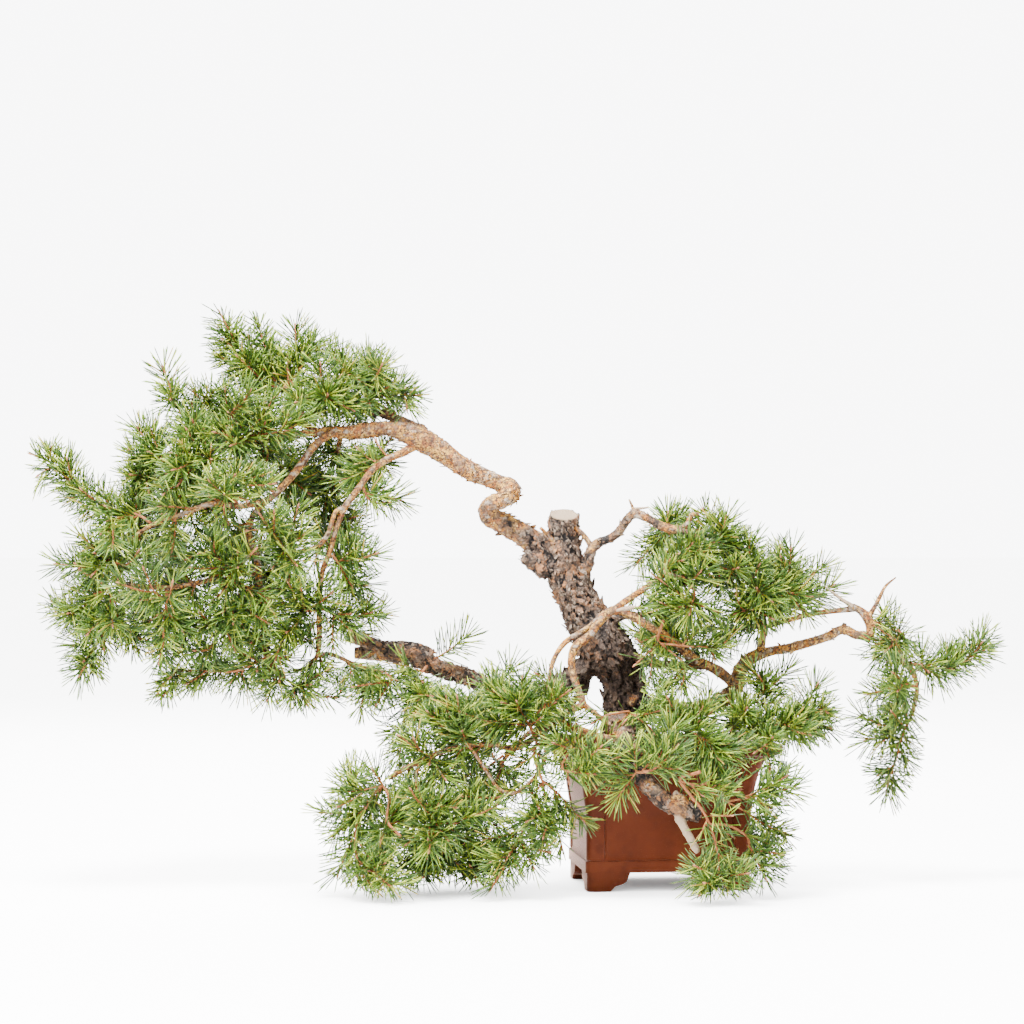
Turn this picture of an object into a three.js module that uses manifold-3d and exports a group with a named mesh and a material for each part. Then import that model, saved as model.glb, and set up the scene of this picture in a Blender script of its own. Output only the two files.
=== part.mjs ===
// A Scots pine trained as a cascading bonsai, standing in its clay pot. Millimetres, +Z up.
// The pot, the soil and two drain screens are made things. The trunk with all its boughs is one
// piece of wood, and each leafy stem that grows from it is a piece of its own, with its needles.
import * as THREE from "three";
import Module from "manifold-3d";

const wasm = await Module();
wasm.setup();

// The tree was laid out as it is sighted from the front: a place is [across, back, up], where
// back is the depth behind the pot's middle. Things further back look smaller, so the first and
// last numbers are what a ruler held in the plane of the pot's middle would read.
const SIGHT_DISTANCE = 4200;
const SIGHT_HEIGHT = 495;

// Pot: a rectangle with flaring walls and a flat lip, on four bracket feet.
const POT_ACROSS = 195.5;
const POT_TURN_DEGREES = 6.5;
const POT_HALF_WIDTH = 108.8;
const POT_HALF_DEPTH = 90;
const POT_CORNER_RADIUS = 8;
const CORNER_STEPS = 2;
const FOOT_HEIGHT = 25;
const FLOOR_TOP = 37;
const LIP_TOP = 191;
const DRAIN_RADIUS = 12;
const DRAIN_SPACING = 96;
const SCREEN_SIZE = 46;
const SCREEN_THICKNESS = 1.5;
const SCREEN_BAR = 4;
const GAP = 0.35;

// The wall as [how far outside the footprint, height], up the outside and down the inside.
const POT_OUTSIDE = [
  [1.2, 25], [1.2, 39], [0, 41], [0, 98], [2.5, 115], [5.5, 135], [10, 154],
  [17, 169], [27, 176], [36, 179], [38, 182], [38, 189], [36.5, LIP_TOP],
];
const POT_INSIDE = [
  [25, LIP_TOP], [23.5, 189], [10, 177], [1, 165], [-3, 150], [-7, 120], [-9, 98], [-10, FLOOR_TOP],
];
// One bracket foot seen from the front: outer edge at 0, going inwards and down.
const FOOT_OUTLINE = [[0, 0], [57, 0], [52, -12], [47, -15], [37, -18], [31, -25], [0, -25]];
const FOOT_THICKNESS = 24;

// Soil: fills the pot to just under the lip and rises a little towards the trunk.
const SOIL_EDGE = 176;
const SOIL_EDGE_OUTSIDE = 8.9;
const SOIL_CROWN = 181;

// Wood. Each limb is a list of [across, back, up, radius], with the number of sides it gets.
const TRUNK = [
  [146, 20, 122, 25], [146, 20, 165, 30], [145, 20, 200, 27], [144, 20, 240, 23], [143, 20, 272, 25],
  [134, 20, 297, 34], [118, 20, 322, 35], [104, 20, 345, 31], [93, 20, 367, 28], [84, 20, 387, 27],
  [74, 20, 410, 27], [69, 20, 434, 25], [69, 20, 458, 22], [69, 17, 477, 22], [69.5, 11, 492, 20],
];
const BUTTRESS = [
  [170, 16, 128, 11], [169, 14, 190, 12], [168, 12, 230, 10], [171, 12, 262, 10], [160, 15, 300, 12],
];
const LIMBS = {
  hanging_root: [5, [[112, 18, 312, 17], [101, 16, 286, 12], [97, 14, 264, 7], [99, 12, 250, 2.5]]],
  bough: [7, [
    [70, 20, 425, 22], [42, 17, 446, 17], [20, 13, 461, 15], [-2, 8, 474, 14.5], [-18, 3, 483, 14],
    [-31, -4, 492, 12.5], [-33, -12, 503, 12], [-20, -16, 509, 12], [-6, -13, 514, 12], [1, -4, 522, 12],
    [-8, 3, 529, 12], [-28, 4, 537, 12], [-60, 2, 552, 12.5], [-98, -2, 578, 14.5], [-122, -6, 592, 16],
    [-140, -9, 600, 13.5], [-160, -12, 606, 9.5], [-190, -16, 604, 10.5], [-216, -18, 601, 9.8],
    [-246, -20, 602, 6.5], [-280, -20, 600, 5.2],
  ]],
  bough_lump: [5, [[40, 8, 438, 12], [22, 2, 437, 11], [8, -2, 441, 7]]],
  old_wood: [5, [
    [-118, 4, 604, 7], [-145, 8, 616, 6], [-170, 10, 625, 6], [-192, 8, 630, 4.5], [-206, 6, 630, 2.5],
  ]],
  branch_left: [5, [
    [-238, -24, 602, 5.5], [-262, -32, 585, 5.2], [-280, -40, 560, 5], [-300, -52, 535, 4.8],
    [-325, -62, 512, 4.4], [-360, -75, 503, 4], [-400, -90, 506, 3.8], [-430, -94, 496, 3.8],
    [-455, -92, 486, 3.6], [-478, -88, 478, 3.4], [-503, -80, 462, 3], [-525, -74, 446, 2.6],
  ]],
  branch_down: [5, [
    [-322, -61, 514, 4], [-346, -50, 489, 4.4], [-352, -42, 468, 4.6], [-342, -40, 440, 4.8],
    [-338, -44, 410, 4.4],
    [-335, -50, 375, 4], [-332, -55, 340, 3.6], [-325, -60, 305, 3.3], [-316, -60, 288, 3],
    [-303, -56, 273, 2.7],
  ]],
  branch_low_left: [4, [
    [-338, -45, 412, 3.6], [-370, -60, 416, 3.4], [-410, -80, 403, 3.3], [-460, -90, 394, 3.2],
    [-500, -85, 396, 3.4], [-528, -80, 401, 3.6],
  ]],
  branch_upper_left: [4, [
    [-276, -20, 600, 5], [-305, -22, 596, 4.8], [-340, -25, 588, 4.4], [-375, -30, 581, 4],
    [-405, -35, 576, 3.6], [-430, -40, 562, 3],
  ]],
  branch_crown: [4, [[-262, -19, 602, 4.4], [-286, -10, 622, 3.4], [-299, 0, 646, 2.8]]],
  branch_ridge: [3, [[-296, -18, 598, 4], [-290, 0, 613, 3], [-270, 8, 624, 2.6]]],
  branch_back: [3, [[-228, -12, 600, 4], [-231, 25, 575, 3], [-229, 45, 550, 2.7], [-235, 60, 535, 2.4]]],
  branch_back_left: [3, [
    [-300, -16, 597, 4], [-320, 30, 580, 3.4], [-345, 65, 560, 3], [-375, 90, 540, 2.4],
  ]],
  branch_back_down: [3, [
    [-345, 65, 560, 3], [-340, 85, 530, 2.8], [-335, 98, 495, 2.6], [-333, 100, 470, 2.4],
  ]],
  branch_rear_low: [3, [
    [-425, -83, 401, 3], [-440, -45, 405, 2.8], [-452, 5, 398, 2.6], [-462, 38, 382, 2.3],
  ]],
  branch_rear_high: [3, [
    [-420, -38, 569, 3], [-445, 0, 548, 2.8], [-460, 35, 525, 2.6], [-470, 52, 505, 2.3],
  ]],
  tan_strand: [5, [
    [-130, -8, 583, 7], [-148, -22, 573, 5], [-170, -38, 563, 4.6], [-188, -50, 549, 4.4],
    [-200, -55, 533, 4.2],
    [-213, -58, 515, 4.2], [-223, -60, 501, 4.2], [-233, -60, 478, 3.6], [-242, -58, 445, 3.6],
    [-252, -55, 418, 3.8],
    [-257, -50, 385, 4], [-257, -50, 350, 4], [-257, -50, 325, 3.6], [-260, -50, 303, 3.2],
    [-272, -48, 289, 2.8],
    [-291, -40, 282, 2.4],
  ]],
  tan_fork: [4, [
    [-223, -60, 501, 3.6], [-234, -66, 496, 3.2], [-241, -66, 478, 3], [-248, -64, 461, 3],
    [-261, -62, 448, 3], [-280, -60, 443, 2.8], [-298, -60, 441, 2.5],
  ]],
  tan_tail: [4, [
    [-259, -50, 304, 3], [-245, -52, 306, 2.8], [-232, -54, 302, 2.8], [-215, -55, 294, 2.6],
    [-195, -58, 287, 2.5], [-172, -60, 281, 2.3],
  ]],
  low_bough: [7, [
    [108, 14, 298, 17], [84, 12, 276, 15], [52, 15, 257, 13.5], [12, 20, 251, 12.5], [-25, 22, 259, 12],
    [-60, 22, 275, 12], [-98, 20, 287, 12.5], [-130, 18, 302, 13], [-160, 15, 310, 10.5],
    [-192, 12, 321, 9],
    [-221, 9, 331, 8.5],
  ]],
  low_bough_prong: [5, [[-146, 17, 301, 10], [-180, 20, 306, 9], [-210, 22, 307, 8]]],
  low_bough_bark: [4, [[-106, 24, 304, 8], [-130, 25, 317, 5], [-155, 25, 320, 4], [-174, 25, 321, 2.5]]],
  upper_right: [5, [
    [88, 16, 402, 12], [101, 8, 426, 8.5], [107, 5, 446, 7], [118, 2, 455, 6.5], [131, 0, 460, 6.3],
    [143, -2, 469, 6], [151, -4, 481, 6.2], [162, -5, 493, 6.5], [178, -8, 488, 5.6],
    [196, -10, 478, 5.8],
    [212, -12, 472, 6.2], [226, -14, 470, 5], [242, -16, 463, 4.2], [258, -18, 457, 3.2],
  ]],
  upper_right_twig: [3, [[163, -5, 494, 3], [160, -6, 503, 2], [156, -7, 512, 1.1]]],
  upper_right_snag: [3, [[163, -5, 499, 2.4], [182, -4, 501, 1.1]]],
  upper_right_spur: [3, [[107, 5, 447, 4], [99, 3, 458, 2.4], [90, 2, 469, 1.8]]],
  upper_right_knob: [4, [
    [224, -14, 471, 4.4], [234, -15, 479, 3.8], [240, -16, 491, 3.4], [249, -16, 492, 2.4],
  ]],
  tan_arch: [5, [
    [300, 24, 262, 7], [275, 0, 283, 7], [240, -20, 301, 6.4], [215, -30, 322, 6], [176, -38, 347, 5.8],
    [132, -45, 363, 5.8], [118, -54, 350, 5.6], [101, -62, 328, 5.4], [83, -68, 313, 5.8],
    [79, -70, 296, 5.4],
    [83, -72, 272, 5], [91, -75, 250, 5], [95, -78, 238, 5],
  ]],
  tan_arch_twin: [4, [
    [124, -44, 361, 4], [105, -47, 343, 3.8], [86, -52, 331, 3.8], [70, -58, 320, 3.8],
    [58, -61, 303, 3.2],
    [52, -63, 286, 3], [50, -65, 270, 2.6],
  ]],
  cascade: [5, [
    [95, -78, 238, 5], [78, -86, 230, 4.8], [60, -93, 219, 4.6], [42, -98, 206, 4.4],
    [24, -103, 190, 4.4],
    [2, -108, 180, 4.4], [-20, -112, 184, 3.6], [-52, -116, 184, 3.6], [-84, -120, 178, 3.6],
    [-105, -122, 171, 3.6],
    [-124, -124, 162, 3.6], [-150, -128, 149, 3.2], [-165, -131, 140, 2.8],
  ]],
  cascade_prong: [4, [
    [95, -78, 238, 4.4], [109, -84, 228, 3.6], [125, -92, 215, 3.4], [138, -98, 208, 2.8],
  ]],
  cascade_middle: [3, [
    [-122, -124, 163, 3], [-128, -128, 142, 2.6], [-124, -132, 122, 2.5], [-115, -138, 101, 2.3],
  ]],
  cascade_rear: [3, [
    [-105, -122, 171, 3], [-106, -100, 140, 2.6], [-108, -92, 100, 2.5], [-108, -90, 68, 2.2],
  ]],
  cascade_inner: [3, [
    [2, -108, 180, 3.4], [-11, -102, 164, 2.8], [-23, -90, 130, 2.6], [-38, -80, 95, 2.4],
    [-50, -75, 70, 2.2],
  ]],
  cascade_sweep: [3, [
    [42, -98, 206, 3], [46, -114, 180, 2.8], [38, -122, 152, 2.7], [20, -126, 131, 2.6],
    [0, -128, 119, 2.5],
    [-20, -128, 128, 2.4], [-31, -128, 145, 2.3], [-52, -128, 176, 2.2],
  ]],
  low_rear: [3, [[100, 20, 268, 5], [70, 46, 228, 3.6], [26, 68, 202, 3.2], [-10, 84, 172, 2.4]]],
  front_tan: [4, [
    [60, -93, 219, 4.4], [76, -104, 209, 4], [93, -114, 204, 4], [110, -124, 198, 4],
    [128, -136, 194, 4], [148, -148, 186, 4],
  ]],
  front_bough: [7, [
    [138, 10, 215, 17], [141, -35, 209, 15], [145, -80, 206, 14], [149, -118, 202, 13.5],
    [152, -142, 194, 13],
    [157, -154, 176, 12], [167, -158, 150, 12], [185, -160, 126, 12.5], [206, -163, 108, 13],
    [230, -163, 98, 12.5],
    [252, -162, 91, 11.5],
  ]],
  front_snag: [4, [
    [222, -166, 88, 6.5], [233, -170, 68, 5.6], [243, -173, 50, 5.2], [248, -174, 41, 3.6],
  ]],
  front_stub: [4, [[238, -164, 102, 6], [226, -171, 114, 5], [216, -173, 122, 4.2]]],
  front_shoot: [3, [
    [153, -146, 190, 4], [175, -168, 173, 3], [200, -176, 158, 2.8], [212, -178, 146, 2.4],
  ]],
  right_limb: [7, [
    [155, 12, 244, 14], [190, 20, 236, 11], [230, 28, 231, 10.5], [262, 32, 236, 10], [285, 32, 247, 10],
    [300, 32, 263, 10], [304, 32, 284, 9.5], [318, 30, 300, 8.6], [340, 28, 308, 7], [370, 25, 314, 6.4],
    [400, 20, 322, 6.2], [421, 18, 329, 6], [441, 15, 338, 6.6], [460, 12, 331, 6], [477, 10, 328, 6],
  ]],
  right_limb_nub: [3, [[441, 15, 338, 5], [444, 15, 347, 2.6]]],
  right_shade: [5, [
    [146, 12, 300, 10], [176, 5, 296, 7], [205, 0, 291, 6], [240, -8, 290, 5.6], [262, -8, 290, 5],
  ]],
  right_dead: [4, [
    [118, 10, 352, 8], [156, 4, 357, 5], [195, 6, 358, 4.4], [225, 8, 353, 4], [241, 8, 343, 2.5],
  ]],
  right_chip: [3, [[138, -45, 364, 4], [165, -42, 368, 2.6]]],
  rim_branch: [3, [[228, 28, 231, 5], [225, -10, 216, 3.6], [226, -60, 208, 3.2], [230, -100, 204, 2.8]]],
  far_knuckle: [5, [
    [477, 10, 328, 6], [478, 10, 341, 6.6], [474, 8, 353, 6.6], [465, 8, 363, 5.4], [454, 6, 369, 4.4],
  ]],
  far_dead_twig: [3, [[454, 6, 369, 3.6], [439, 2, 379, 2.4], [427, 1, 388, 1.8], [416, 0, 397, 1.1]]],
  far_return: [4, [
    [458, 7, 366, 4], [430, 8, 363, 3.6], [400, 12, 359, 3.5], [370, 16, 351, 3.4], [338, 20, 342, 3.2],
  ]],
  far_upright: [4, [[330, 29, 303, 6], [333, 24, 322, 5.2], [337, 20, 342, 4], [336, 16, 357, 2.8]]],
  far_forked_twig: [3, [
    [474, 8, 353, 4.4], [482, 6, 366, 3.2], [490, 4, 381, 2.6], [498, 2, 396, 2.2], [512, 0, 408, 1],
  ]],
  far_hanging: [4, [
    [476, 9, 348, 5], [491, 4, 341, 4], [502, 0, 331, 4], [511, -4, 320, 4], [518, -7, 305, 4],
    [524, -8, 293, 4],
    [533, -10, 284, 4.4], [538, -10, 272, 3.2], [540, -10, 258, 3], [537, -8, 240, 2.8],
    [533, -6, 223, 2.4],
  ]],
  far_hanging_spur: [3, [[533, -10, 283, 3.4], [548, -9, 286, 1.6]]],
  far_loop: [3, [[477, 10, 328, 4.4], [490, 5, 325, 3], [500, 8, 330, 2.8], [508, 6, 339, 2.4]]],
  right_arch: [4, [
    [134, -45, 364, 4.6], [160, -40, 382, 4.4], [180, -36, 395, 4.2], [200, -32, 410, 4],
    [210, -28, 427, 3.8],
    [222, -25, 437, 3.6], [242, -22, 438, 3.4], [262, -20, 430, 3.2], [285, -15, 418, 2.8],
    [305, -12, 408, 2.4],
  ]],
  right_arch_low: [3, [
    [203, -32, 412, 3], [222, -34, 409, 2.7], [237, -36, 401, 2.5], [243, -38, 389, 2.2],
  ]],
};

// Leafy stems, by name. Each has one stem or two from the same foot, as [across, back, up, radius],
// and the tips of its side shoots as [across, back, up]. The stem's own end is a shoot as well.
const LEAFY_STEMS = {
  crown: {
    stems: [
      [[-299, 0, 646, 2.4], [-300, 2, 670, 2.1], [-298, 0, 698, 1.7]],
      [[-299, 0, 646, 2.2], [-314, 12, 670, 2], [-334, 20, 694, 1.9], [-352, 22, 709, 1.7]],
    ],
    tips: [
      [-264, 18, 722], [-390, 30, 741], [-343, 24, 726], [-394, 22, 706], [-362, 8, 672],
      [-270, 55, 668], [-318, 66, 682],
    ],
  },
  ridge: {
    stems: [
      [
        [-270, 8, 624, 2.3], [-235, 14, 635, 2.1], [-200, 18, 643, 2], [-168, 20, 653, 1.9],
        [-140, 20, 660, 1.6],
      ],
      [[-270, 8, 624, 2.2], [-254, -6, 644, 2], [-238, -14, 664, 1.9], [-222, -18, 684, 1.7]],
    ],
    tips: [
      [-156, 34, 629], [-205, 42, 660], [-185, 48, 628], [-182, -5, 700], [-246, -50, 654],
      [-278, -30, 650],
    ],
  },
  upper_star: {
    stems: [[[-345, -26, 587, 2.2], [-352, -48, 600, 2], [-341, -58, 615, 1.9], [-325, -62, 627, 1.6]]],
    tips: [[-376, -95, 584], [-378, -55, 628], [-300, -66, 604]],
  },
  upper_left: {
    stems: [[[-378, -30, 580, 2.2], [-386, -22, 605, 2], [-396, -14, 628, 1.9], [-412, -14, 646, 1.6]]],
    tips: [[-384, 5, 656], [-358, -22, 644], [-350, 35, 625]],
  },
  outer_upper: {
    stems: [[[-404, -35, 576, 2.2], [-420, -30, 596, 2], [-437, -25, 618, 1.9], [-457, -25, 656, 1.6]]],
    tips: [[-438, -52, 606], [-412, -2, 622]],
  },
  outer_left: {
    stems: [[
      [-430, -40, 562, 2.8], [-448, -44, 549, 2.6], [-468, -48, 543, 2.4], [-488, -50, 543, 2.2],
      [-500, -52, 533, 2],
      [-504, -50, 515, 1.9], [-512, -45, 499, 1.6],
    ]],
    tips: [[-490, -25, 600], [-508, -40, 580], [-509, -76, 546], [-466, -68, 566]],
  },
  far_left: {
    stems: [[
      [-478, -88, 478, 2.6], [-498, -80, 492, 2.4], [-530, -72, 494, 2.2], [-560, -66, 513, 2],
      [-590, -62, 536, 1.8],
      [-618, -60, 563, 1.5],
    ]],
    tips: [[-568, -52, 502], [-524, -60, 520], [-540, -98, 484]],
  },
  left_end: {
    stems: [[[-525, -74, 446, 2.3], [-540, -70, 432, 2], [-552, -66, 419, 1.6]]],
    tips: [[-566, -60, 450], [-515, -102, 424], [-478, -116, 444]],
  },
  low_left_end: {
    stems: [
      [
        [-528, -80, 401, 3], [-536, -78, 386, 2.8], [-536, -75, 370, 2.6], [-543, -72, 355, 2.3],
        [-544, -70, 338, 2.1], [-560, -62, 308, 1.9], [-577, -55, 282, 1.5],
      ],
      [
        [-528, -80, 401, 2.4], [-556, -76, 386, 2.2], [-568, -68, 371, 2], [-582, -62, 358, 1.8],
        [-608, -55, 361, 1.5],
      ],
    ],
    tips: [[-578, -85, 421], [-520, -52, 336], [-508, -98, 334], [-582, -46, 334], [-590, -60, 392]],
  },
  low_stars: {
    stems: [[
      [-460, -90, 394, 2.4], [-461, -95, 370, 2.2], [-464, -98, 340, 2], [-466, -100, 314, 1.9],
      [-471, -102, 291, 1.6],
    ]],
    tips: [[-452, -140, 404], [-492, -132, 421], [-488, -84, 348], [-438, -106, 336]],
  },
  middle_star: {
    stems: [[[-372, -61, 416, 2.2], [-368, -85, 420, 2], [-365, -112, 421, 1.7]]],
    tips: [[-404, -102, 442], [-340, -122, 448], [-384, -96, 388], [-412, -52, 380]],
  },
  arch: {
    stems: [[
      [-337, -47, 392, 2.3], [-362, -62, 386, 2.1], [-388, -75, 362, 2], [-412, -82, 342, 1.8],
      [-436, -85, 337, 1.5],
    ]],
    tips: [[-323, -104, 346], [-400, -74, 314], [-372, -100, 346]],
  },
  low_row: {
    stems: [[
      [-325, -60, 303, 2.4], [-348, -62, 291, 2.2], [-375, -58, 282, 2], [-410, -52, 283, 1.8],
      [-446, -46, 284, 1.5],
    ]],
    tips: [[-366, -78, 312], [-398, -30, 314]],
  },
  low_long: {
    stems: [[[-303, -56, 273, 2.3], [-282, -55, 259, 2], [-258, -55, 249, 1.8], [-232, -55, 248, 1.5]]],
    tips: [[-296, -30, 246], [-268, -84, 266]],
  },
  near_star: {
    stems: [[[-298, -60, 441, 2.2], [-303, -82, 446, 2], [-306, -108, 449, 1.7]]],
    tips: [[-337, -112, 494], [-278, -104, 466], [-320, -92, 420]],
  },
  upper_front: {
    stems: [[[-362, -76, 503, 2.2], [-380, -96, 520, 2], [-367, -108, 537, 1.9], [-332, -112, 543, 1.6]]],
    tips: [[-403, -122, 538], [-352, -128, 510], [-392, -120, 498]],
  },
  front_left: {
    stems: [[[-392, -33, 578, 2.2], [-412, -62, 566, 2], [-430, -82, 549, 1.9], [-446, -94, 530, 1.6]]],
    tips: [[-400, -102, 566], [-466, -98, 518], [-440, -66, 518]],
  },
  strand_right: {
    stems: [[[-243, -58, 441, 2.3], [-228, -52, 423, 2.1], [-213, -46, 397, 1.9], [-192, -45, 397, 1.6]]],
    tips: [[-200, -60, 453], [-188, -66, 486], [-176, -74, 462]],
  },
  strand_low_right: {
    stems: [[[-257, -50, 368, 2.2], [-240, -52, 360, 2], [-215, -54, 354, 1.9], [-187, -55, 361, 1.6]]],
    tips: [[-214, -78, 338], [-226, -30, 374]],
  },
  strand_left: {
    stems: [[[-257, -50, 364, 2.2], [-275, -60, 363, 2], [-292, -68, 378, 1.9], [-314, -74, 397, 1.6]]],
    tips: [[-304, -74, 328], [-282, -90, 404], [-254, -84, 404]],
  },
  strand_tuft: {
    stems: [[[-200, -55, 533, 2], [-195, -50, 517, 1.9], [-186, -48, 508, 1.8], [-163, -46, 507, 1.5]]],
    tips: [[-174, -34, 528]],
  },
  back_inner: {
    stems: [[[-235, 60, 535, 2.2], [-256, 74, 524, 2], [-284, 85, 515, 1.6]]],
    tips: [[-212, 58, 552], [-250, 72, 494], [-290, 100, 548], [-302, 70, 490]],
  },
  back_left: {
    stems: [[[-375, 90, 540, 2.2], [-400, 105, 530, 2], [-428, 115, 515, 1.6]]],
    tips: [[-350, 116, 576], [-392, 112, 494], [-442, 98, 550], [-404, 66, 488]],
  },
  back_column: {
    stems: [[[-333, 100, 470, 2.3], [-340, 95, 430, 2.1], [-350, 88, 390, 1.9], [-365, 76, 352, 1.5]]],
    tips: [
      [-296, 112, 470], [-366, 110, 474], [-288, 100, 428], [-304, 86, 368], [-392, 84, 400],
      [-326, 72, 340],
    ],
  },
  rear_low: {
    stems: [[[-462, 38, 382, 2.2], [-481, 54, 364, 2], [-504, 60, 343, 1.6]]],
    tips: [[-438, 64, 420], [-522, 56, 388], [-464, 48, 328]],
  },
  rear_high: {
    stems: [[[-470, 52, 505, 2.2], [-486, 62, 489, 2], [-507, 68, 470, 1.6]]],
    tips: [[-436, 72, 532], [-500, 56, 526], [-450, 72, 464]],
  },
  tan_tail_end: {
    stems: [[[-172, -60, 281, 2.2], [-159, -62, 273, 2], [-178, -64, 262, 1.9], [-206, -66, 252, 1.6]]],
    tips: [[-134, -62, 266], [-182, -92, 238]],
  },
  old_bough_front: {
    stems: [[
      [-112, 16, 291, 2.4], [-118, -15, 284, 2.2], [-130, -40, 268, 2], [-139, -55, 246, 1.9],
      [-143, -60, 226, 1.6],
    ]],
    tips: [[-149, -50, 293], [-84, -18, 310], [-124, -84, 254]],
  },
  upswept: {
    stems: [[[-52, -128, 176, 2.1], [-72, -128, 200, 2], [-84, -128, 222, 1.9], [-88, -128, 252, 1.6]]],
    tips: [[-114, -132, 230], [-54, -118, 230], [-66, -156, 204]],
  },
  front_mid_left: {
    stems: [[[30, -101, 196, 2.3], [22, -112, 216, 2.1], [6, -118, 236, 1.9], [-18, -118, 252, 1.6]]],
    tips: [[68, -116, 267], [40, -132, 222], [-36, -136, 218]],
  },
  cascade_end: {
    stems: [
      [
        [-165, -131, 140, 2.6], [-185, -136, 118, 2.4], [-200, -142, 96, 2.3], [-208, -150, 70, 2.1],
        [-208, -162, 42, 2], [-200, -182, 14, 1.8], [-184, -212, -8, 1.5],
      ],
      [
        [-165, -131, 140, 2.3], [-164, -136, 114, 2.2], [-167, -142, 86, 2], [-172, -150, 60, 1.9],
        [-183, -156, 30, 1.6],
      ],
    ],
    tips: [
      [-231, -125, 123], [-234, -150, 8], [-240, -140, 62], [-158, -232, -6], [-148, -178, 62],
      [-190, -100, 86],
    ],
  },
  cascade_middle_end: {
    stems: [[[-115, -138, 101, 2.2], [-107, -146, 86, 2], [-88, -152, 78, 1.9], [-58, -156, 85, 1.6]]],
    tips: [[-98, -172, 106], [-74, -182, 58], [-112, -186, 58]],
  },
  cascade_rear_end: {
    stems: [[[-108, -90, 68, 2.1], [-102, -94, 44, 1.9], [-97, -102, 17, 1.6]]],
    tips: [[-136, -84, 26], [-138, -124, 2], [-84, -60, 30]],
  },
  cascade_inner_end: {
    stems: [[[-50, -75, 70, 2.1], [-60, -76, 46, 1.9], [-73, -82, 16, 1.6]]],
    tips: [[-40, -54, 16], [-46, -108, -4], [-22, -96, 44], [-72, -40, 66]],
  },
  low_rear_end: {
    stems: [[[-6, 83, 175, 2.2], [-38, 90, 150, 2], [-66, 90, 120, 1.6]]],
    tips: [[10, 92, 132], [-34, 102, 192], [-84, 80, 158], [-46, 76, 86]],
  },
  pot_corner: {
    stems: [[
      [34, -100, 199, 2.2], [30, -122, 168, 2.1], [42, -134, 132, 2], [48, -142, 100, 1.9],
      [50, -148, 74, 1.8], [42, -150, 50, 1.5],
    ]],
    tips: [[103, -158, 78], [70, -146, 38], [20, -158, 62]],
  },
  cascade_front: {
    stems: [[
      [22, -126, 133, 2.2], [30, -138, 108, 2.1], [22, -144, 84, 2], [12, -148, 64, 1.9],
      [2, -154, 40, 1.8], [-7, -164, 10, 1.5],
    ]],
    tips: [[-38, -152, 58], [-30, -194, -10], [30, -182, 20]],
  },
  pot_front_left: {
    stems: [[
      [93, -114, 204, 2.4], [78, -152, 178, 2.2], [70, -172, 150, 2.1], [92, -176, 147, 2],
      [122, -178, 160, 1.9], [151, -178, 172, 1.6],
    ]],
    tips: [[95, -176, 180], [112, -200, 146], [62, -152, 196]],
  },
  pot_front: {
    stems: [[
      [161, -156, 166, 2.4], [166, -182, 148, 2.2], [184, -186, 150, 2], [202, -188, 161, 1.9],
      [221, -190, 184, 1.6],
    ]],
    tips: [[162, -186, 184], [136, -178, 110], [188, -206, 130]],
  },
  pot_front_hang: {
    stems: [
      [
        [212, -178, 146, 2.2], [238, -184, 118, 2.1], [258, -190, 92, 2.1], [268, -194, 66, 2],
        [274, -198, 40, 2], [277, -204, 18, 1.9], [270, -218, -4, 1.8], [250, -240, -17, 1.5],
      ],
      [
        [212, -178, 146, 2], [238, -182, 133, 1.9], [265, -184, 122, 1.9], [286, -182, 109, 1.8],
        [306, -178, 95, 1.7], [334, -170, 78, 1.5],
      ],
    ],
    tips: [
      [290, -236, -10], [240, -220, 8], [380, -146, 131], [368, -150, 64], [300, -206, 70],
      [250, -212, 150],
    ],
  },
  pot_right: {
    stems: [[
      [240, -161, 94, 2.2], [256, -162, 78, 2.1], [288, -164, 77, 2], [314, -164, 64, 1.9],
      [318, -162, 42, 1.8], [332, -160, 25, 1.7], [357, -156, 23, 1.5],
    ]],
    tips: [[346, -140, 50], [296, -182, 44], [340, -184, 4]],
  },
  rim_right: {
    stems: [[
      [285, 32, 246, 2.6], [288, 0, 228, 2.4], [300, -40, 210, 2.2], [325, -68, 199, 2],
      [357, -82, 213, 1.7],
    ]],
    tips: [[348, -12, 260], [418, -70, 236], [310, -96, 226], [342, -104, 196]],
  },
  rim_front: {
    stems: [[[230, -100, 204, 2.4], [238, -130, 202, 2.2], [252, -152, 194, 1.8]]],
    tips: [[194, -112, 244], [212, -156, 210], [266, -120, 230], [282, -168, 172], [300, -142, 196]],
  },
  trunk_front: {
    stems: [
      [[208, -31, 325, 2.2], [182, -44, 318, 2], [152, -52, 314, 1.9], [128, -56, 325, 1.6]],
      [[208, -31, 325, 2], [214, -46, 318, 2], [242, -46, 315, 1.9], [278, -42, 315, 1.6]],
    ],
    tips: [[162, -66, 290], [200, -48, 352], [250, -30, 344], [228, -62, 296], [134, -72, 296]],
  },
  prong_end: {
    stems: [[[138, -98, 208, 2.4], [152, -112, 222, 2.1], [166, -120, 238, 1.7]]],
    tips: [[128, -130, 226], [180, -130, 212]],
  },
  upper_right_end: {
    stems: [[[258, -18, 457, 2.6], [274, -14, 454, 2.3], [294, -10, 448, 2], [320, -8, 442, 1.6]]],
    tips: [[284, -30, 479], [262, 6, 486], [302, 22, 462], [290, -44, 440]],
  },
  right_arch_end: {
    stems: [[[305, -12, 408, 2.2], [323, -10, 396, 2], [350, -8, 393, 1.9], [376, -10, 398, 1.6]]],
    tips: [[398, -6, 384], [330, -34, 426], [348, -40, 376]],
  },
  right_arch_low_end: {
    stems: [[[243, -38, 389, 2.1], [238, -44, 372, 2], [222, -50, 364, 1.9], [198, -54, 374, 1.7]]],
    tips: [[208, -54, 398], [272, -44, 364]],
  },
  upper_right_back: {
    stems: [[[210, -12, 472, 2.3], [206, 10, 480, 2], [209, 14, 496, 1.7]]],
    tips: [[184, 26, 436], [232, 34, 486], [224, 40, 448]],
  },
  upright_end: {
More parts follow.
